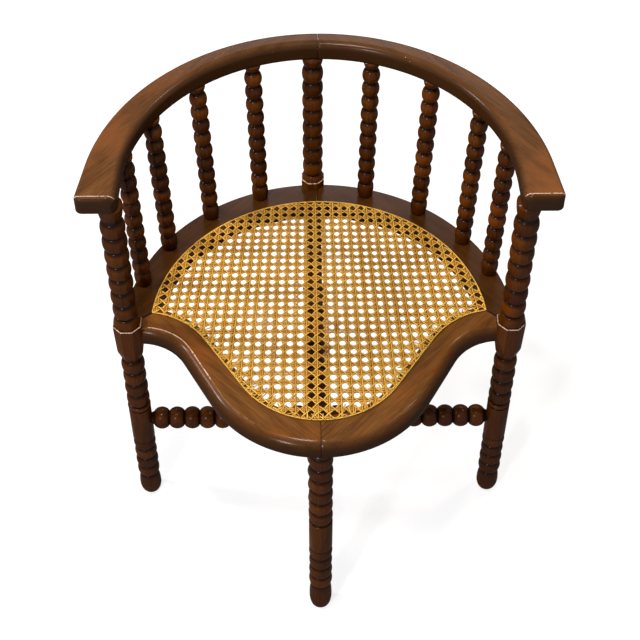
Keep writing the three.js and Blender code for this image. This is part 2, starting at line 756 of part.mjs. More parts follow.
function frontRailBlank() {
  const shape = new THREE.Shape();
  const behind = POST.y + POST_BLOCK + POST_BLOCK;
  const turn = straightTurn(OUTLINE);
  shape.moveTo(-BACK_RAIL_WIDTH, -NOSE_REACH);
  shape.lineTo(NOSE.x, -NOSE_REACH);
  shape.absarc(NOSE.x, NOSE.y, OUTLINE.nose, -RIGHT_ANGLE, SWEEP - turn, false);
  shape.absarc(HOLLOW.x, HOLLOW.y, OUTLINE.hollow, SWEEP + Math.PI - turn, RIGHT_ANGLE, true);
  shape.lineTo(POST.x, SHOULDER_Y);
  shape.lineTo(POST.x, behind);
  shape.lineTo(-BACK_RAIL_WIDTH, behind);
  return toSolid(extruded(shape, RAIL_BOTTOM, SEAT_HEIGHT, FRONT_RAIL_EDGE, BULLNOSE_STEPS));
}

function frontRail() {
  const rail = cutFrom(frontRailBlank(), [
    frontOpening(),
    leftHalf(),
    leftOf(MITRE_INNER, MITRE_OUTER, GAP / 2),
    sideBlock(GAP),
    legTenon(GAP),
    toSolid(noseDowel(GAP)),
    tieHoles(),
  ]);
  return toGeometry(rail.add(frontRailTenon(0)));
}

function backRailBlank() {
  const shape = new THREE.Shape();
  const outerStart = Math.asin(POST.y / SEAT_RADIUS);
  const innerStart = Math.asin(POST.y / OPENING_RADIUS);
  shape.absarc(0, 0, SEAT_RADIUS, outerStart, RIGHT_ANGLE, false);
  shape.lineTo(-BACK_RAIL_WIDTH, SEAT_RADIUS);
  shape.lineTo(-BACK_RAIL_WIDTH, OPENING_RADIUS);
  shape.absarc(0, 0, OPENING_RADIUS, RIGHT_ANGLE, innerStart, true);
  return toSolid(extruded(shape, RAIL_BOTTOM, SEAT_HEIGHT, BACK_RAIL_EDGE, SMALL_EDGE_STEPS));
}

function backRail(side) {
  const rail = cutFrom(backRailBlank(), [
    leftHalf(),
    leftOf(MITRE_OUTER, MITRE_INNER, GAP / 2),
    sideBlock(GAP),
    backBlock(side.backPostX, GAP),
    toSolid(backDowel(GAP)),
    tieHoles(),
    ...side.spindleAngles.map((degrees) => spindleTenons(degrees, GAP)),
  ]);
  const tenon = backRailTenon(0).intersect(backRailBlank().add(sideBlock(0)));
  return toGeometry(joined([rail, tenon, backPostTenon(side.backPostX, 0)]));
}

// Where a straight run that leaves a circle at an angle comes down to a level.
function splayedX(start, angle, level) {
  return start.x + Math.tan(angle) * (start.y - level);
}

// Place at an angle on a circle whose centre lies on the middle of the chair.
function circlePoint(radius, centreY, angle) {
  return new THREE.Vector2(radius * Math.cos(angle), centreY + radius * Math.sin(angle));
}

// Half of the arm and crest, sawn in plan and rounded over, ending in a square hand.
function armBlank() {
  const shape = new THREE.Shape();
  const innerLevel = HAND_FRONT + HAND_INNER_CORNER;
  const outerStart = circlePoint(ARM_OUTER_RADIUS, -ARM_OUTER_LEAD, OUTER_SPLAY);
  const innerEnd = circlePoint(ARM_INNER_RADIUS, ARM_INNER_SETBACK, INNER_SPLAY);
  const innerX = splayedX(innerEnd, INNER_SPLAY, innerLevel);
  shape.moveTo(splayedX(outerStart, OUTER_SPLAY, HAND_FRONT), HAND_FRONT);
  shape.lineTo(outerStart.x, outerStart.y);
  shape.absarc(0, -ARM_OUTER_LEAD, ARM_OUTER_RADIUS, OUTER_SPLAY, RIGHT_ANGLE, false);
  shape.lineTo(-BACK_RAIL_WIDTH, ARM_BACK);
  shape.lineTo(-BACK_RAIL_WIDTH, ARM_INNER_BACK);
  shape.absarc(0, ARM_INNER_SETBACK, ARM_INNER_RADIUS, RIGHT_ANGLE, INNER_SPLAY, true);
  shape.lineTo(innerX, innerLevel);
  shape.quadraticCurveTo(innerX, HAND_FRONT, innerX + HAND_INNER_CORNER, HAND_FRONT);
  return toSolid(extruded(shape, ARM_BOTTOM, ARM_HEIGHT, ARM_EDGE, EDGE_STEPS));
}

function socket(width, length, x, y) {
  const hole = drum(width + 2 * GAP, ARM_BOTTOM - GAP, ARM_BOTTOM + length + GAP, POST_FACETS);
  return toSolid(hole.translate(x, y, 0));
}

function arm(side) {
  return toGeometry(cutFrom(armBlank(), [
    leftHalf(),
    socket(POST_TENON, POST_TENON_LENGTH, POST.x, POST.y),
    socket(BACK_TENON, BACK_TENON_LENGTH, side.backPostX, BACK_POST.y),
    toSolid(crestDowel(GAP)),
    ...side.spindleAngles.map((degrees) => spindleTenons(degrees, GAP)),
  ]));
}

// Closed line round the cane, an inset inside its border.
function caneLine(inset) {
  const curve = seatCurve(CANE_LAP - inset);
  const corner = curveCorner(curve);
  const turn = straightTurn(curve);
  const low = SWEEP + Math.PI - turn;
  const high = Math.atan2(corner.y - HOLLOW.y, corner.x - HOLLOW.x);
  const wide = Math.atan2(corner.y, corner.x);
  const shape = new THREE.Shape();
  shape.absarc(NOSE.x, NOSE.y, curve.nose, -RIGHT_ANGLE, SWEEP - turn, false);
  shape.absarc(HOLLOW.x, HOLLOW.y, curve.hollow, low, high, true);
  shape.absarc(0, 0, curve.back, wide, Math.PI - wide, false);
  shape.absarc(-HOLLOW.x, HOLLOW.y, curve.hollow, Math.PI - high, Math.PI - low, true);
  shape.absarc(NOSE.x, NOSE.y, curve.nose, Math.PI - SWEEP + turn, Math.PI + RIGHT_ANGLE, false);
  return shape;
}

// Ties that hold the cane's border down through holes in the rails.
function ties(width, bottom, top) {
  const spots = caneLine(BINDER_WIDTH / 2).getSpacedPoints(2 * TIES);
  const posts = [];
  for (let i = 1; i < 2 * TIES; i += 2) {
    const spot = spots[i];
    posts.push(toSolid(drum(width, bottom, top, TIE_FACETS).translate(spot.x, spot.y, 0)));
  }
  return joined(posts);
}

function tieHoles() {
  return ties(TIE + 2 * GAP, RAIL_BOTTOM - GAP, SEAT_HEIGHT + GAP);
}

function caneBinder() {
  const bottom = SEAT_HEIGHT + GAP;
  const shape = caneLine(0);
  shape.holes.push(caneLine(BINDER_WIDTH));
  const band = toSolid(extruded(shape, bottom, bottom + BINDER_THICKNESS, 0, EDGE_STEPS));
  return toGeometry(band.add(ties(TIE, RAIL_BOTTOM, bottom + BINDER_THICKNESS / 2)));
}

// Whether a place in plan lies inside a closed run of points.
function isInside(place, points) {
  let inside = false;
  points.forEach((point, index) => {
    const next = points[(index + 1) % points.length];
    const crosses = point.y > place.y !== next.y > place.y;
    const run = (next.x - point.x) * (place.y - point.y) / (next.y - point.y);
    if (crosses && place.x < point.x + run) {
      inside = !inside;
    }
  });
  return inside;
}

// Corners of one open square of the cane.
function squareCorners(x, y) {
  const half = CANE_HOLE / 2;
  const corners = [[-half, -half], [-half, half], [half, half], [half, -half]];
  return corners.map(([dx, dy]) => new THREE.Vector2(x + dx, y + dy));
}

// Woven cane as a plate with a regular grid of open squares.
function caneSeat() {
  const bottom = SEAT_HEIGHT + GAP;
  const top = bottom + CANE_THICKNESS;
  const limit = caneLine(CANE_LAP + CANE_MARGIN).getPoints(ARC_STEPS);
  const reach = Math.ceil(SEAT_RADIUS / CANE_PITCH);
  const openings = [];
  for (let row = -reach; row <= reach; row += 1) {
    for (let column = -reach; column <= reach; column += 1) {
      const corners = squareCorners(column * CANE_PITCH, row * CANE_PITCH);
      if (corners.every((corner) => isInside(corner, limit))) {
        const opening = new THREE.Shape(corners);
        openings.push(toSolid(extruded(opening, bottom - GAP, top + GAP, 0, EDGE_STEPS)));
      }
    }
  }
  const plate = toSolid(extruded(caneLine(BINDER_WIDTH + GAP), bottom, top, 0, EDGE_STEPS));
  return toGeometry(cutFrom(plate, openings));
}

function addPiece(group, name, geometry, material) {
  const mesh = new THREE.Mesh(geometry, material);
  mesh.name = name;
  group.add(mesh);
}

function addPair(group, name, build, material) {
  addPiece(group, `${name}_left`, mirrored(build(LEFT_SIDE)), material());
  addPiece(group, `${name}_right`, build(RIGHT_SIDE), material());
}

function addSpindles(group) {
  LEFT_SIDE.spindleAngles.forEach((degrees, index) => {
    const geometry = mirrored(toGeometry(spindleSolid(degrees)));
    addPiece(group, `spindle_left_${index + 1}`, geometry, frameWood());
  });
  RIGHT_SIDE.spindleAngles.forEach((degrees, index) => {
    addPiece(group, `spindle_right_${index + 1}`, toGeometry(spindleSolid(degrees)), frameWood());
  });
}

function cornerChair() {
  const group = new THREE.Group();
  group.name = 'corner_chair';
  addPair(group, 'arm', arm, armWood);
  addPiece(group, 'crest_dowel', crestDowel(0), dowelWood());
  addPair(group, 'post', sidePost, frameWood);
  addPiece(group, 'post_back', backPost(), frameWood());
  addPiece(group, 'leg_front', frontLeg(), frameWood());
  addSpindles(group);
  addPair(group, 'seat_rail_back', backRail, frameWood);
  addPair(group, 'seat_rail_front', frontRail, frameWood);
  addPiece(group, 'seat_dowel_back', backDowel(0), dowelWood());
  addPiece(group, 'seat_dowel_front', noseDowel(0), dowelWood());
  addPiece(group, 'stretcher_side', sideStretcher(), frameWood());
  addPiece(group, 'stretcher_fore', foreStretcher(), frameWood());
  addPiece(group, 'cane_seat', caneSeat(), caneStraw());
  addPiece(group, 'cane_binder', caneBinder(), caneStraw());
  return centred(group);
}

// Sets the middle of the outer box over the origin.
function centred(group) {
  const middle = new THREE.Box3().setFromObject(group).getCenter(new THREE.Vector3());
  group.position.set(-middle.x, -middle.y, 0);
  return group;
}

export default cornerChair();
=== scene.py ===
import math

import bpy
import numpy as np
from mathutils import Matrix, Vector


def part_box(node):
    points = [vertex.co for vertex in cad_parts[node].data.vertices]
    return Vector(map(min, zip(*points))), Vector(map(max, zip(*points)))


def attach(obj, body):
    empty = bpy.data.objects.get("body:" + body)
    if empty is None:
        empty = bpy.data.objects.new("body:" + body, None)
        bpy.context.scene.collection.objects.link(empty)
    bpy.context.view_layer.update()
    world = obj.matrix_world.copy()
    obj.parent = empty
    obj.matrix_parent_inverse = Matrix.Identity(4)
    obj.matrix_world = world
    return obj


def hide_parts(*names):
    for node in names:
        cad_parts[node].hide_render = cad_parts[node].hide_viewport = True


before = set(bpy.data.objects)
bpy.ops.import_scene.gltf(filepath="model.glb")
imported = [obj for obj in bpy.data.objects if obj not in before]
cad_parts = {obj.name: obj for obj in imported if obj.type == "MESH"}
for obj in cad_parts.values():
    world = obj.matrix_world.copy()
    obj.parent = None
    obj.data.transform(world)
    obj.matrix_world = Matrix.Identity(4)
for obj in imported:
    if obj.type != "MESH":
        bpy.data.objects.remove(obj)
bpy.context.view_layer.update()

# Sizes in millimetres, from the centre of the round part of the seat.
MM = 0.001
SEAT = 425.0
RAIL_BOTTOM = 397.0
ARM_TOP = 720.0
ARM_BOTTOM = 689.0
POST = np.array([285.0, -7.0])
BACK_POST = np.array([-7.5, 296.0])
STRETCHER_Z = 200.0
BACK_INNER = 243.0
BACK_OUTER = 293.0
SHOULDER_X = 284.0

# Bead, neck and block widths, beads above the cushion, and the heights where that run begins and ends.
SIDE_POST_SIZES = (36, 27, 42, 7, 458.9, 661.7)
BACK_POST_SIZES = (32, 23, 36, 8, 451.7, 671.6)
LEG_BEAD = 36
LEG_NECK = 28
SPINDLE_ANGLES = {"left": (19.1, 37.1, 55.6, 72.4), "right": (15.8, 34.7, 53.4, 68.7)}

# The frame's middle lies a little behind the seat's centre, so plan sizes are shifted.
POST_LOW, POST_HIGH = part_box("post_right")
SHIFT = np.array([0.0, (POST_LOW.y + POST_HIGH.y) / 2 / MM - POST[1], 0.0])

rng = np.random.default_rng(11)


# Meshes


def make_piece(name, verts, faces, grain, values, material, nodes):
    """A mesh piece from points in millimetres, with wood coordinates and painted values."""
    mesh = bpy.data.meshes.new(name)
    points = (np.asarray(verts, float) + SHIFT) * MM
    mesh.from_pydata(points.tolist(), [], faces)
    mesh.polygons.foreach_set("use_smooth", [True] * len(mesh.polygons))
    layer = mesh.attributes.new("grain", "FLOAT_VECTOR", "POINT")
    layer.data.foreach_set("vector", np.asarray(grain, np.float32).ravel())
    for key, data in values.items():
        layer = mesh.attributes.new(key, "FLOAT", "POINT")
        layer.data.foreach_set("value", np.asarray(data, np.float32).ravel())
    mesh.validate()
    mesh.update()
    obj = bpy.data.objects.new(name, mesh)
    bpy.context.scene.collection.objects.link(obj)
    mesh.materials.append(material)
    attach(obj, "root")
    if nodes:
        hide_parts(*nodes)
    return obj


def ring_faces(rows, count, start=0):
    """Quads between rows of points that each close on themselves."""
    faces = []
    for row in range(rows - 1):
        low = start + row * count
        for i in range(count):
            j = (i + 1) % count
            faces.append((low + i, low + j, low + count + j, low + count + i))
    return faces


def capped(rows, count, start=0):
    faces = ring_faces(rows, count, start)
    faces.append(tuple(start + i for i in reversed(range(count))))
    faces.append(tuple(start + (rows - 1) * count + i for i in range(count)))
    return faces


class Parts:
    """Gathers several shells into one piece."""

    def __init__(self):
        self.verts, self.faces, self.grain = [], [], []
        self.values = {"crease_shade": [], "wear_and_highlight": [], "tone_and_shade": []}
        self.count = 0

    def add(self, verts, faces, grain, crease_shade, wear_and_highlight, tone_and_shade):
        verts = np.asarray(verts, float)
        self.verts.append(verts)
        self.faces.extend(tuple(i + self.count for i in face) for face in faces)
        self.grain.append(np.asarray(grain, float))
        for key, data in (("crease_shade", crease_shade), ("wear_and_highlight", wear_and_highlight), ("tone_and_shade", tone_and_shade)):
            self.values[key].append(np.broadcast_to(np.asarray(data, float), (len(verts),)))
        self.count += len(verts)

    def piece(self, name, material, nodes, place=None):
        verts = np.concatenate(self.verts)
        if place is not None:
            verts = verts @ place[0].T + place[1]
        values = {key: np.concatenate(data) for key, data in self.values.items()}
        grain = np.concatenate(self.grain)
        return make_piece(name, verts, self.faces, grain, values, material, nodes)


def aim(start, end):
    """Rotation and shift that lay the Z axis from start to end."""
    way = Vector(np.asarray(end, float) - np.asarray(start, float)).normalized()
    turn = Vector((0, 0, 1)).rotation_difference(way).to_matrix()
    return np.array(turn), np.asarray(start, float)


# Turned work


def bead_run(low, high, count, bead, neck, rings=14):
    """Rows of radius, height, painted neck shade and random tone for beads that touch at their necks."""
    pitch = (high - low) / count
    rows = []
    for i in range(count):
        width = bead * (1 + rng.uniform(-0.012, 0.012))
        tone_and_shade = rng.uniform(0.25, 0.75)
        for k in range(rings):
            u = 0.5 - 0.5 * math.cos(math.pi * k / rings)
            swell = (1 - abs(2 * u - 1) ** 2) ** 0.68
            radius = neck / 2 + (width - neck) / 2 * swell
            rows.append((radius, low + (i + u) * pitch, (1 - swell) ** 1.15, tone_and_shade))
    return rows


def plain_run(low, high, radius_low, radius_high, steps=8, tone_and_shade=0.5, crease_shade=0.0):
    return [
        (radius_low + (radius_high - radius_low) * k / steps, low + (high - low) * k / steps, crease_shade, tone_and_shade)
        for k in range(steps + 1)
    ]


def rounded_run(low, high, radius, edge, steps=6, tone_and_shade=0.5):
    """A short collar with rounded shoulders."""
    rows = []
    for k in range(steps + 1):
        angle = math.pi / 2 * k / steps
        depth = edge * (1 - math.sin(angle))
        rows.append((radius - depth, low + edge * (1 - math.cos(angle)), depth / edge * 0.8, tone_and_shade))
    for k in range(steps + 1):
        angle = math.pi / 2 * (1 - k / steps)
        depth = edge * (1 - math.sin(angle))
        rows.append((radius - depth, high - edge * (1 - math.cos(angle)), depth / edge * 0.8, tone_and_shade))
    return rows


def flare(low, high, start, end, tone_and_shade=0.45, steps=7):
    """A collar that swells from a neck to its full radius."""
    rows = []
    for k in range(steps + 1):
        u = k / steps
        swell = math.sin(math.pi / 2 * u) ** 0.8
        rows.append((start + (end - start) * swell, low + (high - low) * u, 0.85 * (1 - u) ** 2, tone_and_shade))
    return rows


def dome(low, high, start, end, tone_and_shade=0.5, steps=10):
    """A quarter-round that closes in from its full radius to a neck."""
    rows = []
    for k in range(steps + 1):
        u = math.sin(math.pi / 2 * k / steps)
        fall = math.sqrt(max(1 - u * u, 0.0))
        rows.append((end + (start - end) * fall, low + (high - low) * u, (1 - fall) ** 1.5, tone_and_shade))
    return rows


def foot_run(top, bead, neck, flat):
    """A ball foot, flattened where it stands."""
    rows = []
    widest = 0.44 * top
    for k in range(9):
        swell = math.sin(math.pi / 2 * k / 8)
        rise = 1 - math.cos(math.pi / 2 * k / 8)
        # The foot is painted darker towards the floor as shade.
        rows.append((flat + (bead * 0.492 - flat) * swell, widest * rise, 0.5 * (1 - rise) ** 2, 0.3))
    return rows + dome(widest, top, bead * 0.492, neck / 2 - 0.6, 0.3)


def lathe(parts, rows, facets, seed):
    """Turns rows of radius, height, painted crease shade and tone about Z."""
    rows = np.array(rows, float)
    angles = np.arange(facets) * 2 * math.pi / facets
    ring = np.stack([np.cos(angles), np.sin(angles)], 1)
    xy = rows[:, None, 0, None] * ring[None]
    z = np.broadcast_to(rows[:, None, 1, None], (len(rows), facets, 1))
    verts = np.concatenate([xy, z], 2).reshape(-1, 3)
    grain = verts[:, [2, 0, 1]] + seed
    parts.add(
        verts,
        capped(len(rows), facets),
        grain,
        np.repeat(rows[:, 2], facets),
        0.0,
        np.repeat(rows[:, 3], facets),
    )


def octagon(radius, corner):
    """Points of an octagon with small rounded corners, by its half width across flats."""
    points = []
    reach = (radius - corner) / math.cos(math.pi / 8)
    for side in range(8):
        middle = math.pi / 8 + side * math.pi / 4
        centre = np.array([math.cos(middle), math.sin(middle)]) * reach
        for step in range(4):
            angle = middle + (step / 3 - 0.5) * math.pi / 4
            points.append(centre + corner * np.array([math.cos(angle), math.sin(angle)]))
    return np.array(points)


def block(parts, width, neck, seed):
    """Eight-sided block with a worn upper arris, narrowing downwards to a lamb's tongue."""
    top = width / 2
    bottom = top * 0.93
    start = neck / 2 + 0.3
    # Each level holds height, half width, painted shade in the necks and arris wear.
    levels = [(357.9, neck / 2 - 0.5, 0.95, 0.0), (358.5, start, 0.7, 0.0)]
    for k in range(1, 9):
        u = k / 8
        curve = 0.4 * u + 0.6 * u * u * (3 - 2 * u)
        levels.append((358.5 + 24.0 * u, start + (bottom - start) * curve, 0.4 * (1 - u) ** 2, 0.05 * u))
    for k in range(1, 10):
        u = k / 9
        levels.append((382.5 + 55.9 * u, bottom + (top - bottom) * u, 0.0, 0.0))
    levels += [
        (439.0, top, 0.0, 0.3),
        (439.6, top - 0.15, 0.0, 1.0),
        (440.1, top - 0.6, 0.0, 1.0),
        (440.4, top - 1.2, 0.0, 0.3),
        (440.5, top - 2.2, 0.2, 0.0),
        (440.5, neck / 2 - 1, 1.0, 0.0),
    ]
    shells = []
    for height, radius, _, _ in levels:
        corner = 1.1 if radius > neck / 2 + 1 else radius * 0.6
        plan = octagon(radius, corner)
        shells.append(np.column_stack([plan, np.full(len(plan), height)]))
    count = len(shells[0])
    verts = np.concatenate(shells)
    parts.add(
        verts,
        capped(len(shells), count),
        verts[:, [2, 0, 1]] + seed,
        np.repeat([level[2] for level in levels], count),
        np.repeat([level[3] for level in levels], count),
        0.55,
    )


def post_rows(bead, neck, width, upper, cushion_top, beads_top):
    plain = bead / 2 - 0.3
    rows = foot_run(50.0, bead, neck, 8.5)
    rows += flare(50.0, 51.85, neck / 2 - 0.6, neck / 2, 0.3, 2)
    rows += bead_run(51.85, 153.4, 4, bead, neck)
    rows += rounded_run(153.6, 234.0, plain, 1.2)
    rows += bead_run(234.2, 244.4, 1, bead, neck)
    rows += bead_run(244.4, 357.9, 4, bead, neck)
    rows += plain_run(357.9, 440.0, neck / 2, neck / 2, 2)
    rows += dome(440.4, cushion_top, 0.465 * width, neck / 2)
    rows += bead_run(cushion_top, beads_top, upper, bead, neck)
    rows += flare(beads_top, ARM_BOTTOM + 2.0, neck / 2, bead / 2)
    return rows


def make_post(node, centre, sizes, material, seed):
    neck, width = sizes[1:3]
    parts = Parts()
    lathe(parts, post_rows(*sizes), 48, seed)
    block(parts, width, neck, seed)
    place = (np.eye(3), np.array([centre[0], centre[1], 0.0]))
    return parts.piece(node + "_turned", material, [node], place)


LEG_TOP = np.array([0.0, -207.3, SEAT])
LEG_FLOOR = np.array([0.0, -228.5, 0.0])
FORE_START = LEG_TOP + (LEG_FLOOR - LEG_TOP) * (SEAT - STRETCHER_Z) / SEAT
FORE_END = np.array([BACK_POST[0], BACK_POST[1], STRETCHER_Z])
CROSSING = FORE_START + (FORE_END - FORE_START) * (POST[1] - FORE_START[1]) / (FORE_END[1] - FORE_START[1])


def make_leg(material):
    length = np.linalg.norm(LEG_TOP - LEG_FLOOR)
    rows = foot_run(0.138 * length, LEG_BEAD, LEG_NECK, 12.0)
    rows += bead_run(0.138 * length, 0.38 * length, 4, LEG_BEAD, LEG_NECK)
    rows += rounded_run(0.3805 * length, 0.5345 * length, 17.9, 1.2)
    rows += bead_run(0.535 * length, 0.918 * length, 6, LEG_BEAD, LEG_NECK)
    rows += flare(0.918 * length, 0.935 * length, LEG_NECK / 2, 17.6)
    parts = Parts()
    lathe(parts, rows, 48, np.array([900.0, 31.0, 57.0]))
    turn, start = aim(LEG_FLOOR, LEG_TOP)
    verts = np.concatenate(parts.verts) @ turn.T + start
    low = verts[:, 2] < 0.6
    verts[low, 2] = 0.0
    parts.verts = [verts]
    return parts.piece("leg_front_turned", material, ["leg_front"])


def spindle_ends(degrees, side):
    angle = math.radians(degrees)
    way = np.array([math.sin(angle), math.cos(angle)])
    foot = way * 280.5
    border = 14.4 * way[1] + math.sqrt(271.6**2 - (14.4 * way[0]) ** 2)
    head = way * (border + 10)
    flip = np.array([side, 1.0])
    return np.append(foot * flip, SEAT), np.append(head * flip, ARM_BOTTOM)


def make_spindle(side, index, material):
    hand = "left" if side < 0 else "right"
    start, end = spindle_ends(SPINDLE_ANGLES[hand][index], side)
    length = np.linalg.norm(end - start)
    base = 0.107 * length
    top = 0.955 * length
    rows = [(10.6, -1.0, 0.9, 0.3)]
    for k in range(8):
        u = k / 8
        rows.append((11.0 + 2.0 * math.sin(math.pi / 2 * u), 0.6 * base * u, 0.5 * (1 - u) ** 3, 0.4))
    rows += dome(0.6 * base, base, 13.0, 8.0, 0.4)
    rows += bead_run(base, top, 9, 27, 16)
    rows += flare(top, length + 2.0, 8.0, 12.6)
    parts = Parts()
    lathe(parts, rows, 36, rng.uniform(0, 2000, 3))
    name = "spindle_%s_%d" % (hand, index + 1)
    return parts.piece(name + "_turned", material, [name], aim(start, end))


def stretcher_rows(length, middle, near, far):
    half = 18.0
    near_count = round((middle - half - near) / 25)
    far_count = round((length - far - middle - half) / 25)
    rows = [(7.5, near - 8, 1.0, 0.4), (9.4, near - 3.4, 1.0, 0.4), (10.8, near - 0.8, 0.9, 0.4)]
    rows += bead_run(near, middle - half, near_count, 36, 22)
    first = len(rows)
    rows += bead_run(middle + half, length - far, far_count, 36, 22)
    end = length - far
    rows += [(10.8, end + 0.8, 0.9, 0.4), (9.4, end + 3.4, 1.0, 0.4), (7.5, end + 8, 1.0, 0.4)]
    return rows, first


def crossing(parts, low, high, seed):
    """Half of the plain square middle, with softened edges."""
    half, edge = 18.0, 1.2
    ring = []
    for cx, cy, start in ((1, 1, 0), (-1, 1, 90), (-1, -1, 180), (1, -1, 270)):
        for step in range(4):
            angle = math.radians(start + 30 * step)
            ring.append((cx * (half - edge) + edge * math.cos(angle), cy * (half - edge) + edge * math.sin(angle)))
    ring = np.array(ring)
    shells = []
    tight = 1 - edge / half / 2
    for height, scale in ((low, tight), (low + edge / 2, 1), (high - edge / 2, 1), (high, tight)):
        shells.append(np.column_stack([ring * scale + CROSSING[:2], np.full(len(ring), height)]))
    verts = np.concatenate(shells)
    parts.add(verts, capped(4, len(ring)), verts + seed, 0.0, 0.05, 0.4)


def make_stretcher(node, start, end, near, far, low, high, material, seed):
    start, end = np.asarray(start, float), np.asarray(end, float)
    length = np.linalg.norm(end - start)
    middle = np.linalg.norm(CROSSING - start)
    rows, first = stretcher_rows(length, middle, near, far)
    turn, shift = aim(start, end)
    parts = Parts()
    for run in (rows[:first], rows[first:]):
        lathe(parts, run, 40, seed)
    parts.verts = [verts @ turn.T + shift for verts in parts.verts]
    crossing(parts, low, high, seed)
    return parts.piece(node + "_turned", material, [node])


# Sawn curved work

JOINT_INSET = 0.22


def arc(centre, radius, start, end, count):
    angles = np.radians(np.linspace(start, end, count))
    return np.asarray(centre) + radius * np.column_stack([np.cos(angles), np.sin(angles)])


def section(width, low, high, corners, inset=(0, 0, 0)):
    """Rows of across, height and light top edge round a sawn piece, worn wood that is also a painted highlight on the
    front rails.

    corners holds across and upright radii for inner top, outer top, outer bottom and
    inner bottom. inset draws the inner side, the outer side and both faces inwards.
    """
    left, right = inset[0], width - inset[1]
    bottom, top = low + inset[2], high - inset[2]
    shares = (0.0, 0.05, 0.14, 0.27, 0.42, 0.57, 0.72, 0.87, 1.0)
    points = []
    flats = 7
    for index, (sx, sz) in enumerate(((-1, 1), (1, 1), (1, -1), (-1, -1))):
        rx, rz, bend = corners[index]
        cx = (left + rx) if sx < 0 else (right - rx)
        cz = (top - rz) if sz > 0 else (bottom + rz)
        arcs = [(cx - sx * 1.0, cz + sz * rz, 0.0)]
        for k, share in enumerate(shares):
            angle = math.radians(bend + (90 - bend) * share)
            px = cx + sx * rx * (math.sin(angle) - math.sin(math.radians(bend))) / (1 - math.sin(math.radians(bend)))
            pz = cz + sz * rz * math.cos(angle) / math.cos(math.radians(bend))
            arcs.append((px, pz, (1.0, 0.5)[k] if sz > 0 and k < 2 else 0.0))
        if index in (0, 2):
            arcs = arcs[::-1]
        if points:
            before = points[-1]
            after = arcs[0]
            for k in range(1, flats):
                u = k / flats
                points.append((before[0] + (after[0] - before[0]) * u, before[1] + (after[1] - before[1]) * u, 0.0))
        points += arcs
    before, after = points[-1], points[0]
    for k in range(1, flats):
        u = k / flats
        points.append((before[0] + (after[0] - before[0]) * u, before[1] + (after[1] - before[1]) * u, 0.0))
    return np.array(points)


def sweep(inner, outer, low, high, corners, insets, worn_and_highlit, shade, plank, seed, material, name, nodes):
    """A sawn piece between two plan lines.

    The edge wear argument holds the wear of the inner and outer top edges, its share in each row and the
    wear of the whole top in each row; on the front rails this light edge is also a painted highlight.
    The tone is painted shade, light on the top face and dark on the sides and underside, and shade
    darkens a row further where it is below one.
    """
    sections, wear_and_highlight, tone_and_shade, crease_shade = [], [], [], []
    for i, (a, b) in enumerate(zip(inner, outer)):
        width = np.linalg.norm(b - a)
        way = (b - a) / width
        rows = section(width, low, high, corners, insets[i])
        plan = a + rows[:, :1] * way
        sections.append(np.column_stack([plan, rows[:, 1]]))
        across = rows[:, 0] / width
        arris = rows[:, 2] * np.where(across < 0.5, worn_and_highlit[0], worn_and_highlit[1]) * worn_and_highlit[2][i]
        wear_and_highlight.append(arris + worn_and_highlit[3][i] * (rows[:, 1] > high - 6))
        # Painted shade: the sides and underside of a sawn piece are toned dark, its top face light.
        tone_and_shade.append(np.interp(rows[:, 1], (low, high - 9, high - 2.5, high - 0.3), (0.0, 0.12, 0.5, 0.9)) * shade[i])
        # Rows at an open joint get painted shade for the gap.
        crease_shade.append(np.full(len(rows), 1.0 if insets[i][2] == JOINT_INSET else 0.0))
    count = len(sections[0])
    verts = np.concatenate(sections)
    turn = math.radians(plank)
    along = verts[:, 0] * math.cos(turn) + verts[:, 1] * math.sin(turn)
    over = -verts[:, 0] * math.sin(turn) + verts[:, 1] * math.cos(turn)
    grain = np.column_stack([along, over, verts[:, 2]]) + seed
    faces = capped(len(sections), count)
    area = polygon_area(np.concatenate([inner[[0, -1]], outer[[-1, 0]]]))
    if area > 0:
        faces = [tuple(reversed(face)) for face in faces]
    parts = Parts()
    parts.add(verts, faces, grain, np.concatenate(crease_shade), np.concatenate(wear_and_highlight), np.concatenate(tone_and_shade))
    return parts.piece(name, material, nodes)


def polygon_area(points):
    x, y = points[:, 0], points[:, 1]
    return float(np.sum(x * np.roll(y, -1) - y * np.roll(x, -1)) / 2)


def end_insets(count, joint):
    """Insets of the first and last rows of a sawn piece that ends in an open joint."""
    rows = [(0.0, 0.0, 0.0)] * count
    rows[0] = (JOINT_INSET,) * 3
    if joint:
        rows[-1] = (JOINT_INSET,) * 3
    return rows


def fixed_x(centre, radius, x):
    return math.degrees(math.acos((x - centre[0]) / radius))


def edge_run(centre, radius, splay, front, along):
    """Plan line of an arm's edge: a round back, then straight on to the hand."""
    starts = [fixed_x(centre, radius, x) for x in (0.15, 0.6)]
    joint = arc(centre, radius, starts[0], starts[1], 2)
    line = np.concatenate([joint, arc(centre, radius, starts[1], splay, 84)[1:]])
    levels = np.concatenate([np.linspace(line[-1][1], front + along[0], 12)[1:], front + np.array(along[1:])])
    slope = math.tan(math.radians(splay))
    straight = np.column_stack([line[-1][0] + slope * (line[-1][1] - levels), levels])
    return np.concatenate([line, straight])


def sawn(side, node, inner, outer, levels, corners, insets, worn_and_highlit, shade, plank, seed, material):
    """One sawn piece, mirrored for its side."""
    flip = np.array([side, 1.0])
    name = node + ("_left" if side < 0 else "_right")
    inner, outer = inner * flip, outer * flip
    low, high = levels
    return sweep(
        inner, outer, low, high, corners, insets, worn_and_highlit, shade, plank, seed, material, name + "_sawn", [name]
    )


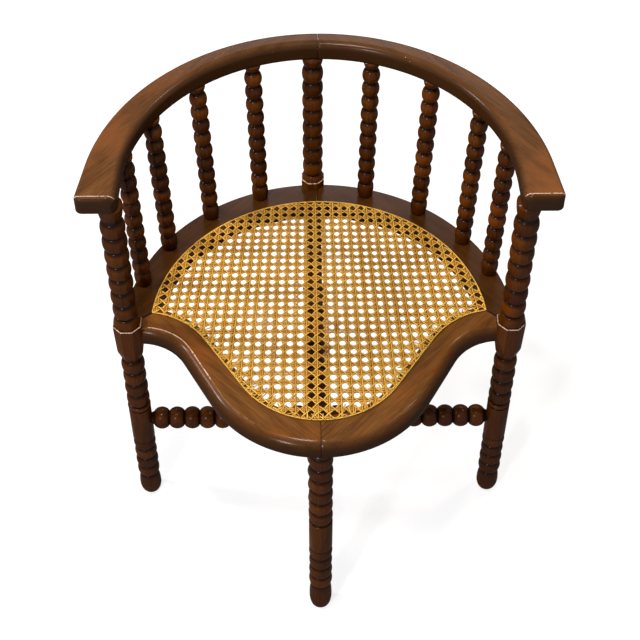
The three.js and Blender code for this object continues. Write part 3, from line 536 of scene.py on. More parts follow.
def make_arm(side, material):
    front = -27.6
    depths = (16.0, 13.5, 11.0, 9.2, 8.2, 7.6, 7.0, 6.3, 5.2, 4.1, 3.1, 2.3, 1.6, 1.0, 0.5, 0.15, 0.0)
    inner = edge_run((0.0, 14.4), 271.6, 2.0, front, depths)
    outer = edge_run((0.0, -8.9), 323.8, 9.0, front, depths)
    insets = end_insets(len(inner), False)
    fronts = [0.0] * len(inner)
    edge, corner = 7.5, 13.0
    shade = list(np.linspace(0.45, 1.0, len(inner)))
    for index, depth in enumerate(depths):
        row = len(inner) - len(depths) + index
        inside = corner - math.sqrt(max(corner**2 - max(corner - depth, 0.0) ** 2, 0.0))
        round_off = edge - math.sqrt(max(edge**2 - max(edge - depth, 0.0) ** 2, 0.0))
        outside = corner - 2 - math.sqrt(max((corner - 2) ** 2 - max(corner - 2 - depth, 0.0) ** 2, 0.0))
        insets[row] = (inside, outside, round_off)
        # The hand's front face is painted dark as shade.
        shade[row] = min(max((depth - 2.0) / 5.0, 0.1), 1.0)
        fronts[row] = 1.0 if 6.9 < depth < 7.7 else 0.0
    worn_and_highlit = (0.0, 0.0, [0.0] * len(inner), fronts)
    corners = ((11.0, 9.0, 0.0), (6.0, 6.0, 0.0), (6.0, 6.0, 0.0), (6.0, 6.0, 0.0))
    seed = np.array([130.0, 40.0, 9.0]) * (2 + side)
    levels = (ARM_BOTTOM, ARM_TOP)
    return sawn(
        side, "arm", inner, outer, levels, corners, insets, worn_and_highlit, shade, -52 * side, seed, material
    )


NOSE = np.array([0.0, -44.2])
NOSE_R = 181.0
HOLLOW_X = 270.0
SHOULDER_Y = -15.7
RISE = SHOULDER_Y - NOSE[1]
HOLLOW_R = 0.808 * (HOLLOW_X**2 + RISE**2 - NOSE_R**2) / (2 * (NOSE_R + RISE))
HOLLOW = np.array([HOLLOW_X, SHOULDER_Y - HOLLOW_R])
SWEEP = math.degrees(math.atan2(HOLLOW[1] - NOSE[1], HOLLOW[0]))


def seat_curve(lap):
    """Radii of nose, hollow and back for a line that runs a lap outside the opening."""
    return NOSE_R - 56.3 + lap, HOLLOW_R + 49.3 - lap, 243.0 + lap


def curve_corner(curve):
    _, hollow, back = curve
    span = np.linalg.norm(HOLLOW)
    along = (back**2 - hollow**2 + span**2) / (2 * span)
    off = math.sqrt(back**2 - along**2)
    way = HOLLOW / span
    return np.array([way[0] * along - way[1] * off, way[1] * along + way[0] * off])


def curve_angles(curve):
    """Angles where the nose ends, the hollow starts, the hollow ends and the back starts."""
    turn = math.degrees(math.acos((curve[0] + curve[1]) / np.linalg.norm(HOLLOW - NOSE)))
    corner = curve_corner(curve)
    end = math.degrees(math.atan2(corner[1] - HOLLOW[1], corner[0] - HOLLOW[0]))
    return SWEEP - turn, SWEEP + 180 - turn, end, math.degrees(math.atan2(corner[1], corner[0]))


MITRE_IN = curve_corner(seat_curve(0.0))
MITRE_OUT = POST + np.array([-21.0, 21.0])


def make_front_rail(side, material):
    nose_r, hollow_r, _ = seat_curve(0.0)
    nose_end, hollow_start, hollow_end, _ = curve_angles(seat_curve(0.0))
    turn = math.degrees(math.acos((NOSE_R + HOLLOW_R) / np.linalg.norm(HOLLOW - NOSE)))
    nose_turn, hollow_turn = SWEEP - turn, SWEEP + 180 - turn
    start_in = -90 + math.degrees(0.15 / nose_r)
    start_out = -90 + math.degrees(0.15 / NOSE_R)
    first_in = -90 + math.degrees(0.7 / nose_r)
    first_out = -90 + math.degrees(0.7 / NOSE_R)
    inner = [arc(NOSE, nose_r, start_in, first_in, 2), arc(NOSE, nose_r, first_in, nose_end, 34)[1:]]
    outer = [arc(NOSE, NOSE_R, start_out, first_out, 2), arc(NOSE, NOSE_R, first_out, nose_turn, 34)[1:]]
    tail = arc(HOLLOW, hollow_r, hollow_start, hollow_start, 1)[0]
    straight = np.linspace(inner[-1][-1], tail, 15)[1:]
    inner.append(straight)
    outer.append(np.linspace(outer[-1][-1], arc(HOLLOW, HOLLOW_R, hollow_turn, hollow_turn, 1)[0], 15)[1:])
    inner.append(arc(HOLLOW, hollow_r, hollow_start, hollow_end + 2.5, 26)[1:])
    outer.append(arc(HOLLOW, HOLLOW_R, hollow_turn, 90, 26)[1:])
    inner.append(arc(HOLLOW, hollow_r, hollow_end + 2.5, hollow_end, 8)[1:])
    way = (MITRE_OUT - MITRE_IN) / np.linalg.norm(MITRE_OUT - MITRE_IN)
    corner = MITRE_IN + way * ((SHOULDER_X - MITRE_IN[0]) / way[0])
    shoulder = [SHOULDER_X, SHOULDER_Y]
    end = np.linspace([HOLLOW_X, SHOULDER_Y], shoulder, 5)
    end = np.concatenate([end, np.linspace(shoulder, corner, 4)[1:]])
    outer.append(end[1:])
    inner, outer = np.concatenate(inner), np.concatenate(outer)
    count = len(inner)
    # The light line on the outer arris is wear and a painted highlight, strongest on the left rail and towards the
    # posts.
    share = 0.25 if side > 0 else 1.0
    mask = [share * (1.0 if x > 172 else 0.55 if x > 100 else 0.25) for x in outer[:, 0]]
    mask[-9:] = [0.0] * 9
    worn_and_highlit = (0.0, 1.0, mask, [0.0] * count)
    corners = ((1.0, 1.0, 0.0), (14.5, 17.0, 13.0), (5.0, 5.0, 0.0), (2.0, 2.0, 0.0))
    insets = end_insets(count, True)
    shade = [1.0] * count
    seed = np.array([420.0, 70.0, 3.0]) * (2 + side)
    levels = (RAIL_BOTTOM, SEAT)
    node = "seat_rail_front"
    return sawn(
        side, node, inner, outer, levels, corners, insets, worn_and_highlit, shade, 46 * side, seed, material
    )


def back_curve(radius, end):
    """Plan line of a back rail's edge, from the middle joint to the mitre."""
    joint, first = (fixed_x((0, 0), radius, x) for x in (0.15, 0.7))
    return np.concatenate([arc((0, 0), radius, joint, first, 2), arc((0, 0), radius, first, end, 80)[1:]])


def make_back_rail(side, material):
    inner_end = math.degrees(math.atan2(MITRE_IN[1], MITRE_IN[0]))
    way = (MITRE_OUT - MITRE_IN) / np.linalg.norm(MITRE_OUT - MITRE_IN)
    reach = MITRE_IN @ way
    length = -reach + math.sqrt(reach**2 - MITRE_IN @ MITRE_IN + BACK_OUTER**2)
    far = MITRE_IN + way * length
    outer_end = math.degrees(math.atan2(far[1], far[0]))
    inner = back_curve(BACK_INNER, inner_end)
    outer = back_curve(BACK_OUTER, outer_end)
    count = len(inner)
    worn_and_highlit = (0.0, 0.3, [0.3] * count, [0.0] * count)
    shade = [0.25] * count
    corners = ((1.0, 1.0, 0.0), (3.0, 3.0, 0.0), (3.0, 3.0, 0.0), (2.0, 2.0, 0.0))
    insets = end_insets(count, True)
    seed = np.array([900.0, 150.0, 5.0]) * (2 + side)
    levels = (RAIL_BOTTOM, SEAT)
    node = "seat_rail_back"
    return sawn(
        side, node, inner, outer, levels, corners, insets, worn_and_highlit, shade, -48 * side, seed, material
    )


# Cane


PITCH = 14.6
CANE_X = -5.0
CANE_Z = 426.35
CANE_PAIR = 1.42
CANE_WIDTH = 2.85
CANE_DIAGONAL_WIDTH = 2.25

# The weave grows coarser from the back to the front: its spread in the middle and per millimetre.
SPREAD = 1.047
FANNING = 0.000544


def to_lattice(points):
    """Even weave coordinates of plan points."""
    spread = SPREAD - FANNING * points[:, 1]
    return np.column_stack([(points[:, 0] - CANE_X) / spread, -np.log(spread / SPREAD) / FANNING])


def from_lattice(points):
    y = SPREAD / FANNING * (1 - np.exp(-FANNING * points[:, 1]))
    return np.column_stack([points[:, 0] * (SPREAD - FANNING * y) + CANE_X, y])


def cane_line(inset, step=3.0):
    """Closed line round the cane, an inset inside its border."""
    curve = seat_curve(10.0 - inset)
    nose_end, hollow_start, hollow_end, back_start = curve_angles(curve)
    turns = ((-90, nose_end), (hollow_start, hollow_end), (back_start, 90))
    right = []
    for centre, radius, (start, end) in zip((NOSE, HOLLOW, (0, 0)), curve, turns):
        count = max(int(radius * math.radians(abs(end - start)) / step), 3)
        right.append(arc(centre, radius, start, end, count))
    half = [right[0]]
    gap = np.linalg.norm(right[1][0] - right[0][-1])
    half.append(np.linspace(right[0][-1], right[1][0], max(int(gap / step), 3))[1:-1])
    half.append(right[1])
    half.append(right[2][1:])
    half = np.concatenate(half)
    left = (half * [-1, 1])[::-1][1:-1]
    return np.concatenate([half, left])


def inside_runs(origin, way, border):
    """Stretches of a straight line that lie inside the border."""
    normal = np.array([-way[1], way[0]])
    side = (border - origin) @ normal
    along = (border - origin) @ way
    nxt_side, nxt_along = np.roll(side, -1), np.roll(along, -1)
    crossing_at = np.nonzero((side > 0) != (nxt_side > 0))[0]
    places = sorted(
        along[i] + (nxt_along[i] - along[i]) * side[i] / (side[i] - nxt_side[i]) for i in crossing_at
    )
    return list(zip(places[::2], places[1::2]))


def ribbon(parts, path, across, width, thick, tone_and_shade):
    """A thin, slightly domed strand along a path. across gives its flat direction."""
    shape = [(-0.5, -0.15), (-0.34, 0.3), (-0.15, 0.48), (0.15, 0.48), (0.34, 0.3), (0.5, -0.15), (0.0, -0.3)]
    up = np.array([0.0, 0.0, 1.0])
    rings = [path + across * (s * width) + up * (h * thick) for s, h in shape]
    verts = np.stack(rings, 1).reshape(-1, 3)
    rows = len(path)
    lengths = np.concatenate([[0.0], np.cumsum(np.linalg.norm(np.diff(path, axis=0), axis=1))])
    grain = np.column_stack(
        [
            np.repeat(lengths + tone_and_shade * 5000, len(shape)),
            np.tile([s * width for s, _ in shape], rows),
            np.full(rows * len(shape), tone_and_shade * 900),
        ]
    )
    # The strand's sides and underside carry painted shade.
    parts.add(verts, capped(rows, len(shape)), grain, np.tile((1.0, 0.85, 0.0, 0.0, 0.85, 1.0, 1.0), rows), 0.0, tone_and_shade)


def weave(parts, border, family):
    """One family of strands: upright pairs, level pairs or one set of diagonals."""
    kind, tone_and_shade_ranges = family
    if kind in ("up", "level"):
        way = np.array([0.0, 1.0]) if kind == "up" else np.array([1.0, 0.0])
        pair = ((0, -CANE_PAIR), (1, CANE_PAIR))
        lines = [(k * PITCH + offset, index) for k in range(-20, 21) for index, offset in pair]
        step = 3.6
    else:
        way = np.array([1.0, 1.0]) / math.sqrt(2) if kind == "rising" else np.array([1.0, -1.0]) / math.sqrt(2)
        lines = [((k + 0.5) * PITCH / math.sqrt(2), 0) for k in range(-45, 46)]
        step = 2.6
    border = to_lattice(border)
    normal = np.array([-way[1], way[0]])
    if kind == "up":
        normal = np.array([1.0, 0.0])
    for offset, index in lines:
        jitter = rng.uniform(-0.2, 0.2)
        origin = normal * (offset + jitter)
        for start, end in inside_runs(origin, way, border):
            if end - start < 4:
                continue
            count = max(int((end - start) / step), 3)
            t = np.linspace(start, end, count)
            wander = 0.4 * np.sin(t / 31.0 + rng.uniform(0, 6.28))
            plan = origin + t[:, None] * way + wander[:, None] * normal
            if kind == "up":
                lift = (-0.42 if index == 0 else 0.34) + 0.12 * np.cos(2 * math.pi * plan[:, 1] / PITCH)
            elif kind == "level":
                lift = -0.06 + (0.16 if index else -0.04) * np.cos(2 * math.pi * plan[:, 0] / PITCH)
            elif kind == "rising":
                lift = 0.85 * np.cos(2 * math.pi * plan[:, 0] / PITCH)
            else:
                lift = -0.85 * np.cos(2 * math.pi * plan[:, 0] / PITCH)
            width = CANE_WIDTH if kind in ("up", "level") else CANE_DIAGONAL_WIDTH
            width *= rng.uniform(0.94, 1.12)
            tone_and_shade = rng.uniform(*tone_and_shade_ranges)
            path = np.column_stack([from_lattice(plan), CANE_Z + lift])
            run = np.gradient(path[:, :2], axis=0)
            run /= np.linalg.norm(run, axis=1)[:, None]
            across = np.column_stack([-run[:, 1], run[:, 0], np.zeros(count)])
            across *= np.interp(path[:, 0], (-190, -70, 30, 120), (1.18, 1.0, 1.0, 1.22))[:, None]
            across *= np.interp(path[:, 1], (-60, 60), (1.1, 1.0))[:, None]
            ribbon(parts, path, across, width, 0.62, tone_and_shade)


def fringe(parts, line):
    """Short extra strands that fill the cut cells along the front border."""
    spots, ways = walk(line, PITCH * 0.36)
    for spot, way in zip(spots, ways):
        if spot[1] > 12 or rng.random() < 0.18:
            continue
        inward = np.array([-way[1], way[0]])
        inward *= np.sign(inward @ (np.array([CANE_X, 20.0]) - spot))
        turn = rng.uniform(-0.9, 0.9)
        cos, sin = math.cos(turn), math.sin(turn)
        run = np.array([inward[0] * cos - inward[1] * sin, inward[0] * sin + inward[1] * cos])
        length = rng.uniform(11, 27)
        t = np.linspace(0.5, length, 7)
        path = np.column_stack([spot + t[:, None] * run, CANE_Z + 0.95 - 1.9 * (t / length) ** 3])
        ribbon(parts, path, np.array([-run[1], run[0], 0.0]), rng.uniform(1.7, 2.2), 0.6, rng.uniform(0.35, 1.0))


def make_cane(material):
    border = cane_line(1.2)
    parts = Parts()
    # The upright and level strands beneath get dark tones and the diagonals on top light ones, as painted shade on
    # the lower strands.
    weave(parts, border, ("up", (0.05, 0.45)))
    weave(parts, border, ("level", (0.0, 0.4)))
    weave(parts, border, ("rising", (0.7, 1.0)))
    weave(parts, border, ("falling", (0.7, 1.0)))
    fringe(parts, border)
    return parts.piece("cane_woven", material, ["cane_seat"])


def closed_ribbon(parts, line, height, width, thick, tone_and_shade):
    """A flat strand that runs round a closed plan line."""
    nxt, prev = np.roll(line, -1, 0), np.roll(line, 1, 0)
    way = nxt - prev
    way /= np.linalg.norm(way, axis=1)[:, None]
    normal = np.column_stack([-way[:, 1], way[:, 0]])
    shape = [(-0.5, -0.45), (-0.46, 0.2), (-0.2, 0.5), (0.2, 0.5), (0.46, 0.2), (0.5, -0.45)]
    rings = []
    for s, h in shape:
        plan = line + normal * (s * width)
        rings.append(np.column_stack([plan, np.full(len(plan), height + h * thick)]))
    verts = np.stack(rings, 1).reshape(-1, 3)
    rows = len(line)
    count = len(shape)
    faces = []
    for row in range(rows):
        low, top = row * count, ((row + 1) % rows) * count
        for i in range(count):
            j = (i + 1) % count
            faces.append((low + i, low + j, top + j, top + i))
    lengths = np.concatenate([[0.0], np.cumsum(np.linalg.norm(np.diff(line, axis=0), axis=1))])
    sideways = np.tile([s * width for s, _ in shape], rows)
    grain = np.column_stack([np.repeat(lengths, count), sideways, np.zeros(rows * count)])
    # The border strand's sides carry painted shade.
    parts.add(verts, faces, grain, np.tile((0.9, 0.1, 0.0, 0.0, 0.1, 0.9), rows), 0.0, tone_and_shade)


def walk(line, pitch):
    """Even places along a closed line, with the direction at each."""
    loop = np.vstack([line, line[:1]])
    lengths = np.concatenate([[0.0], np.cumsum(np.linalg.norm(np.diff(loop, axis=0), axis=1))])
    count = int(round(lengths[-1] / pitch))
    at = (np.arange(count) + 0.5) * lengths[-1] / count
    x, y = np.interp(at, lengths, loop[:, 0]), np.interp(at, lengths, loop[:, 1])
    ahead = at + 0.5
    way = np.column_stack([np.interp(ahead, lengths, loop[:, 0]) - x, np.interp(ahead, lengths, loop[:, 1]) - y])
    return np.column_stack([x, y]), way / np.linalg.norm(way, axis=1)[:, None]


def make_binder(material):
    """The border strand, the small loops that tie it and the turns of cane under the rails."""
    parts = Parts()
    closed_ribbon(parts, cane_line(1.4, 2.0), SEAT + 1.35, 1.9, 1.4, 0.6)
    spots, ways = walk(cane_line(1.4, 2.0), PITCH)
    for index, (spot, way) in enumerate(zip(spots, ways)):
        normal = np.array([-way[1], way[0]])
        t = np.linspace(-1, 1, 9)
        plan = spot + normal * (t * 1.35)[:, None]
        lift = SEAT + 0.4 + 1.9 * (1 - np.abs(t) ** 3)
        ribbon(parts, np.column_stack([plan, lift]), np.append(way, 0.0), 1.7, 0.5, rng.uniform(0.75, 1.0))
        nxt = spots[(index + 1) % len(spots)]
        if index % 2 == 0 or index % 6 == 1:
            span = np.linspace(0, 1, 7)
            under = spot + (nxt - spot) * span[:, None]
            depth = RAIL_BOTTOM - 0.5 - 0.7 * np.sin(math.pi * span)
            # The turns under the rails are toned darker than the loops on top, as painted shade.
            ribbon(parts, np.column_stack([under, depth]), np.append(normal, 0.0), 2.4, 0.6, rng.uniform(0.3, 0.7))
    return parts.piece("cane_binder_woven", material, ["cane_binder"])


# Materials


class Nodes:
    """Short ways to add and join shader nodes."""

    def __init__(self, name):
        self.material = bpy.data.materials.new(name)
        self.material.use_nodes = True
        self.tree = self.material.node_tree
        self.tree.nodes.clear()
        self.out = self.tree.nodes.new("ShaderNodeOutputMaterial")

    def add(self, kind, **settings):
        node = self.tree.nodes.new(kind)
        for key, value in settings.items():
            setattr(node, key, value)
        return node

    def join(self, source, target):
        self.tree.links.new(source, target)

    def attribute(self, name, output="Fac"):
        return self.add("ShaderNodeAttribute", attribute_name=name).outputs[output]

    def noise(self, vector, scale, detail=3.0, rough=0.55, stretch=(1, 1, 1), shift=(0, 0, 0)):
        mapping = self.add("ShaderNodeMapping")
        mapping.inputs["Scale"].default_value = stretch
        mapping.inputs["Location"].default_value = shift
        self.join(vector, mapping.inputs["Vector"])
        node = self.add("ShaderNodeTexNoise")
        node.inputs["Scale"].default_value = scale
        node.inputs["Detail"].default_value = detail
        node.inputs["Roughness"].default_value = rough
        self.join(mapping.outputs["Vector"], node.inputs["Vector"])
        return node.outputs["Fac"]

    def ramp(self, value, low, high, to_low=0.0, to_high=1.0, smooth=True):
        node = self.add("ShaderNodeMapRange", interpolation_type="SMOOTHSTEP" if smooth else "LINEAR")
        node.inputs["From Min"].default_value = low
        node.inputs["From Max"].default_value = high
        node.inputs["To Min"].default_value = to_low
        node.inputs["To Max"].default_value = to_high
        self.join(value, node.inputs["Value"])
        return node.outputs["Result"]

    def math(self, operation, a, b=None):
        node = self.add("ShaderNodeMath", operation=operation)
        for socket, value in zip(node.inputs, (a, b)):
            if value is None:
                continue
            if isinstance(value, (int, float)):
                socket.default_value = value
            else:
                self.join(value, socket)
        return node.outputs[0]

    def mix(self, factor, a, b, blend="MIX"):
        node = self.add("ShaderNodeMix", data_type="RGBA", blend_type=blend)
        if isinstance(factor, (int, float)):
            node.inputs["Factor"].default_value = factor
        else:
            self.join(factor, node.inputs["Factor"])
        for key, value in (("A", a), ("B", b)):
            socket = [s for s in node.inputs if s.name == key and s.type == "RGBA"][0]
            if isinstance(value, tuple):
                socket.default_value = (*value, 1.0)
            else:
                self.join(value, socket)
        return [s for s in node.outputs if s.type == "RGBA"][0]


# Name, four shades (dark, middle, light, warm patch), share of the patches, roughness and share of the chips.
WOODS = (
    (
        "arm_wood",
        ((0.035, 0.013, 0.003), (0.15, 0.06, 0.017), (0.23, 0.1, 0.03), (0.235, 0.076, 0.021)),
        0.75,
        0.36,
        1.0,
    ),
    (
        "turned_wood",
        ((0.024, 0.005, 0.0005), (0.14, 0.036, 0.0015), (0.29, 0.096, 0.006), (0.25, 0.056, 0.002)),
        0.55,
        0.34,
        0.0,
    ),
    (
        "rail_wood",
        ((0.028, 0.009, 0.0015), (0.16, 0.061, 0.013), (0.28, 0.112, 0.024), (0.24, 0.066, 0.009)),
        0.65,
        0.36,
        0.3,
    ),
)


def bumped(n, height, strength, distance, below=None):
    """Surface direction bent by a height, on top of another bump if there is one."""
    bump = n.add("ShaderNodeBump")
    bump.inputs["Strength"].default_value = strength
    bump.inputs["Distance"].default_value = distance
    n.join(height, bump.inputs["Height"])
    if below is not None:
        n.join(below, bump.inputs["Normal"])
    return bump.outputs["Normal"]


def surface(n, color, rough, normal):
    """The shader that joins a material's colour, roughness and bump to its output."""
    shader = n.add("ShaderNodeBsdfPrincipled")
    n.join(color, shader.inputs["Base Color"])
    n.join(rough, shader.inputs["Roughness"])
    n.join(normal, shader.inputs["Normal"])
    n.join(shader.outputs["BSDF"], n.out.inputs["Surface"])
    return shader


def wood(name, shades, patch_share, roughness, chip_share):
    """Stained and varnished wood: long streaks, warm patches, painted shade in grooves and on the sides of sawn
    pieces, and worn edges that carry a painted highlight on the front rails.
    """
    dark, middle, light, patch = shades
    n = Nodes(name)
    grain = n.attribute("grain", "Vector")
    crease_shade, wear_and_highlight, tone_and_shade = n.attribute("crease_shade"), n.attribute("wear_and_highlight"), n.attribute("tone_and_shade")
    bands = n.noise(grain, 1.0, 4.0, 0.6, (0.006, 0.055, 0.055))
    streaks = n.noise(grain, 1.0, 5.0, 0.66, (0.02, 0.42, 0.42), (31, 7, 5))
    pores = n.noise(grain, 1.0, 2.0, 0.5, (0.06, 1.3, 1.3), (3, 17, 9))
    cloud = n.noise(grain, 1.0, 3.0, 0.55, (0.011, 0.017, 0.017), (11, 2, 40))
    color = n.mix(n.ramp(bands, 0.3, 0.7, 0.35, 1.0), dark, middle)
    color = n.mix(n.math("MULTIPLY", n.ramp(streaks, 0.42, 0.78), 0.5), color, light)
    patches = n.math("MULTIPLY", n.ramp(cloud, 0.42, 0.68), n.ramp(tone_and_shade, 0.3, 0.85, 0.25, 1.0))
    color = n.mix(n.math("MULTIPLY", patches, patch_share), color, patch)
    color = n.mix(n.ramp(pores, 0.52, 0.72, 0.0, 0.34), color, tuple(0.3 * c for c in dark))
    # Low tone turns the wood dark: random tone on the turned work, painted shade on the sides of the sawn pieces.
    color = n.mix(n.ramp(tone_and_shade, 0.0, 1.0, 1.0, 0.0, False), color, dark)
    # Necks, creases, joint gaps and the foot's underside are painted almost black as shade.
    color = n.mix(n.ramp(crease_shade, 0.08, 0.75, 0.0, 0.93), color, (0.008, 0.003, 0.0015))
    # Worn edges are lightened; on the front rails that light line is also a painted highlight.
    broken = n.noise(grain, 1.0, 4.0, 0.7, (0.2, 0.35, 0.35), (90, 1, 2))
    worn_and_highlit = n.math("MULTIPLY", n.ramp(broken, 0.36, 0.56), n.ramp(wear_and_highlight, 0.3, 1.0))
    color = n.mix(worn_and_highlit, color, (0.72, 0.55, 0.43))
    specks = n.noise(grain, 1.0, 1.0, 0.5, (0.05, 0.05, 0.05), (5, 55, 5))
    dots = n.noise(grain, 1.0, 0.0, 0.5, (0.28, 0.28, 0.28), (50, 5, 15))
    chips = n.math("MULTIPLY", n.ramp(dots, 0.87, 0.885), n.ramp(specks, 0.54, 0.64))
    color = n.mix(n.math("MULTIPLY", chips, chip_share), color, (0.62, 0.42, 0.28))
    gloss = n.noise(grain, 1.0, 3.0, 0.6, (0.02, 0.06, 0.06), (7, 70, 7))
    rough = n.ramp(gloss, 0.3, 0.7, roughness - 0.07, roughness + 0.09)
    rough = n.math("ADD", rough, n.ramp(crease_shade, 0.1, 0.9, 0.0, 0.3))
    relief = n.math("ADD", n.math("MULTIPLY", streaks, 0.6), n.math("MULTIPLY", pores, 0.4))
    wave = n.noise(grain, 1.0, 2.0, 0.5, (0.03, 0.04, 0.04), (60, 9, 8))
    fine = bumped(n, relief, 0.35, 0.00007)
    shader = surface(n, color, rough, bumped(n, wave, 0.5, 0.0004, fine))
    shader.inputs["Specular IOR Level"].default_value = 0.002
    shader.inputs["Coat Weight"].default_value = 0.026
    shader.inputs["Coat IOR"].default_value = 3.0
    shader.inputs["Coat Roughness"].default_value = 0.2
    return n.material


# Middle and reach in metres of the brown stains that years of use have left on the cane.
CANE_STAINS = (((0.024, -0.042, 0.426), 0.016), ((0.01, -0.085, 0.426), 0.011))


def cane(name):
    """Golden split cane with fine fibres, knots of colour and darker stained areas."""
    n = Nodes(name)
    grain, tone_and_shade, edge = n.attribute("grain", "Vector"), n.attribute("tone_and_shade"), n.attribute("crease_shade")
    place = n.add("ShaderNodeTexCoord").outputs["Object"]
    fibre = n.noise(grain, 1.0, 3.0, 0.6, (0.06, 3.2, 3.2))
    blotch = n.noise(grain, 1.0, 3.0, 0.6, (0.03, 0.2, 0.2), (4, 8, 2))
    stain = n.noise(place, 11.0, 3.0, 0.55, (1, 1, 1), (0.3, 0.1, 0.0))
    # Low tone, which carries the painted shade of the lower strands, gives the darker cane colour.
    color = n.mix(n.ramp(tone_and_shade, 0.2, 1.0, 0.0, 1.0, False), (0.54, 0.24, 0.022), (0.93, 0.57, 0.1))
    color = n.mix(n.ramp(fibre, 0.35, 0.75, 0.0, 0.4), color, (0.95, 0.64, 0.15))
    color = n.mix(n.ramp(blotch, 0.55, 0.75, 0.0, 0.55), color, (0.4, 0.13, 0.015))
    color = n.mix(n.ramp(stain, 0.5, 0.72, 0.0, 0.35), color, (0.42, 0.16, 0.025))
    for spot, reach in CANE_STAINS:
        distance = n.add("ShaderNodeVectorMath", operation="DISTANCE")
        distance.inputs[1].default_value = spot
        n.join(place, distance.inputs[0])
        near = n.math("ADD", distance.outputs["Value"], n.math("MULTIPLY", stain, reach * 1.6))
        color = n.mix(n.ramp(near, reach * 0.9, reach * 1.9, 0.72, 0.0), color, (0.2, 0.06, 0.012))
    # The sides and underside of each strand are painted dark as shade.
    color = n.mix(n.ramp(edge, 0.05, 0.8, 0.0, 0.97), color, (0.1, 0.022, 0.003))
    rough = n.ramp(fibre, 0.3, 0.7, 0.38, 0.55)
    shader = surface(n, color, rough, bumped(n, fibre, 0.4, 0.0002))
    shader.inputs["Specular IOR Level"].default_value = 0.02
    return n.material


def dowel_wood(name):
    """Bare pale wood for the dowels hidden in the joints."""
    n = Nodes(name)
    place = n.add("ShaderNodeTexCoord").outputs["Object"]
    fibre = n.noise(place, 300.0, 4.0, 0.6, (0.08, 1, 1))
    color = n.mix(fibre, (0.36, 0.2, 0.09), (0.55, 0.36, 0.19))
    surface(n, color, n.ramp(fibre, 0.3, 0.7, 0.55, 0.75), bumped(n, fibre, 0.3, 0.0002))
    return n.material


def floor_material():
    """White floor: its own shade keeps the shadow, and what the camera sees is lifted to white."""
    n = Nodes("white_floor")
    diffuse = n.add("ShaderNodeBsdfDiffuse")
    diffuse.inputs["Color"].default_value = (0.34, 0.33, 0.32, 1)
    path = n.add("ShaderNodeLightPath")
    seen = n.math("MAXIMUM", path.outputs["Is Camera Ray"], path.outputs["Is Glossy Ray"])
    seen = n.math("MAXIMUM", seen, path.outputs["Is Transmission Ray"])
    glow = n.add("ShaderNodeEmission")
    glow.inputs["Color"].default_value = (1, 1, 1, 1)
    n.join(n.math("MULTIPLY", seen, 0.8), glow.inputs["Strength"])
    both = n.add("ShaderNodeAddShader")
    n.join(diffuse.outputs[0], both.inputs[0])
    n.join(glow.outputs[0], both.inputs[1])
    n.join(both.outputs[0], n.out.inputs["Surface"])
    return n.material


# Assembly


def build_chair():
    arm, turned, rail = (wood(*look) for look in WOODS)
    golden = cane("golden_cane")
    bare = dowel_wood("bare_wood")
    for side in (-1, 1):
        make_arm(side, arm)
        make_front_rail(side, rail)
        make_back_rail(side, rail)
        node = "post_left" if side < 0 else "post_right"
        seed = np.array([170.0, 12.0, 44.0]) * (2 + side)
        make_post(node, POST * [side, 1], SIDE_POST_SIZES, turned, seed)
        for index in range(4):
            make_spindle(side, index, turned)
    make_post("post_back", BACK_POST, BACK_POST_SIZES, turned, np.array([77.0, 5.0, 23.0]))
    make_leg(turned)
    side_start = [-POST[0], POST[1], STRETCHER_Z]
    side_end = [POST[0], POST[1], STRETCHER_Z]
    upper = (STRETCHER_Z + 0.15, STRETCHER_Z + 18)
    lower = (STRETCHER_Z - 18, STRETCHER_Z - 0.15)
    seed = np.array([310.0, 61.0, 18.0])
    make_stretcher("stretcher_side", side_start, side_end, 21.0, 21.0, *upper, turned, seed)
    seed = np.array([510.0, 21.0, 88.0])
    make_stretcher("stretcher_fore", FORE_START, FORE_END, 21.8, 19.1, *lower, turned, seed)
    make_cane(golden)
    make_binder(golden)
    for node in ("crest_dowel", "seat_dowel_front", "seat_dowel_back"):
        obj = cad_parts[node]
        obj.data.materials.clear()
        obj.data.materials.append(bare)


def build_floor():
    size = 6.0
    mesh = bpy.data.meshes.new("floor")
    corners = [(-size, -size, 0), (size, -size, 0), (size, size, 0), (-size, size, 0)]
    mesh.from_pydata(corners, [], [(0, 1, 2, 3)])
    floor = bpy.data.objects.new("floor", mesh)
    mesh.materials.append(floor_material())
    bpy.context.scene.collection.objects.link(floor)


# Name, place, target, size in metres, watts and colour.
LAMPS = (
    ("window", (-2.4, 0.3, 2.3), (0, 0, 0.4), (0.26, 0.26), 46, (0.93, 0.94, 1.0)),
    ("ceiling", (-0.3, -0.3, 3.2), (0, 0, 0.3), (0.36, 0.2), 42, (1.0, 0.95, 0.88)),
    ("behind", (0.15, 2.4, 2.34), (0, 0, 0.5), (1.3, 0.3), 20, (0.97, 0.95, 1.0)),
    ("front", (-1.3, -2.4, 2.4), (0, 0, 0.4), (0.3, 0.3), 50, (0.95, 0.93, 1.0)),
    ("far", (1.4, 0.8, 2.9), (0, 0, 0.4), (0.25, 0.25), 16, (1.0, 0.96, 0.9)),
)


def build_lamp(name, place, target, size, power, color):
    data = bpy.data.lights.new(name, "AREA")
    data.shape = "RECTANGLE"
    data.size, data.size_y = size
    data.energy = power
    data.color = color
    lamp = bpy.data.objects.new(name, data)
    lamp.location = place
    lamp.rotation_euler = (Vector(target) - Vector(place)).to_track_quat("-Z", "Y").to_euler()
    bpy.context.scene.collection.objects.link(lamp)


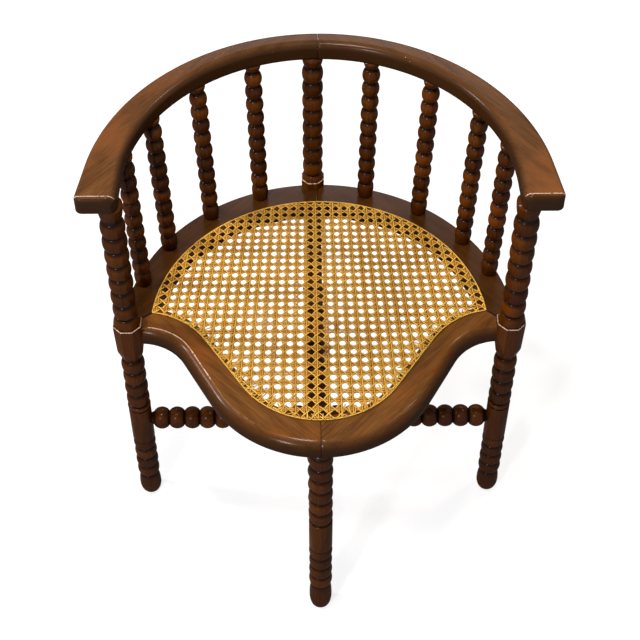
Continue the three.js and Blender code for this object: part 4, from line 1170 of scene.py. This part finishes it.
def build_world():
    world = bpy.data.worlds.new("room")
    bpy.context.scene.world = world
    world.use_nodes = True
    tree = world.node_tree
    tree.nodes.clear()
    out = tree.nodes.new("ShaderNodeOutputWorld")
    room = tree.nodes.new("ShaderNodeBackground")
    room.inputs["Color"].default_value = (1.0, 0.95, 0.9, 1)
    room.inputs["Strength"].default_value = 0.13
    white = tree.nodes.new("ShaderNodeBackground")
    white.inputs["Color"].default_value = (1, 1, 1, 1)
    white.inputs["Strength"].default_value = 1.0
    path = tree.nodes.new("ShaderNodeLightPath")
    mix = tree.nodes.new("ShaderNodeMixShader")
    seen = path.outputs["Is Camera Ray"]
    for ray in ("Is Glossy Ray", "Is Transmission Ray"):
        either = tree.nodes.new("ShaderNodeMath")
        either.operation = "MAXIMUM"
        tree.links.new(seen, either.inputs[0])
        tree.links.new(path.outputs[ray], either.inputs[1])
        seen = either.outputs[0]
    tree.links.new(seen, mix.inputs[0])
    tree.links.new(room.outputs[0], mix.inputs[1])
    tree.links.new(white.outputs[0], mix.inputs[2])
    tree.links.new(mix.outputs[0], out.inputs["Surface"])


# The photo's camera: place in millimetres from the middle of the round seat, turns in radians, lens in millimetres.
CAMERA_PLACE = np.array([-18.711, -1428.812, 2158.332])
CAMERA_YAW = 0.01367134
CAMERA_PITCH = 0.87889274
CAMERA_ROLL = 0.00314481
CAMERA_LENS = 84.64


def build_camera():
    """The camera of the photo: above the front, looking down at the seat."""
    place = (CAMERA_PLACE + SHIFT) * MM
    yaw, pitch, roll = CAMERA_YAW, CAMERA_PITCH, CAMERA_ROLL
    forward = Vector((math.sin(yaw) * math.cos(pitch), math.cos(yaw) * math.cos(pitch), -math.sin(pitch)))
    right = Vector((math.cos(yaw), -math.sin(yaw), 0))
    up = right.cross(forward)
    across = right * math.cos(roll) + up * math.sin(roll)
    above = up * math.cos(roll) - right * math.sin(roll)
    data = bpy.data.cameras.new("camera")
    data.sensor_width = 36
    data.lens = CAMERA_LENS
    data.clip_end = 50
    camera = bpy.data.objects.new("camera", data)
    turn = Matrix((across, above, -forward)).transposed().to_4x4()
    camera.matrix_world = Matrix.Translation(Vector(place)) @ turn
    bpy.context.scene.collection.objects.link(camera)
    bpy.context.scene.camera = camera


build_chair()
build_floor()
build_world()
for lamp in LAMPS:
    build_lamp(*lamp)
build_camera()
bpy.context.scene.view_settings.view_transform = "Standard"
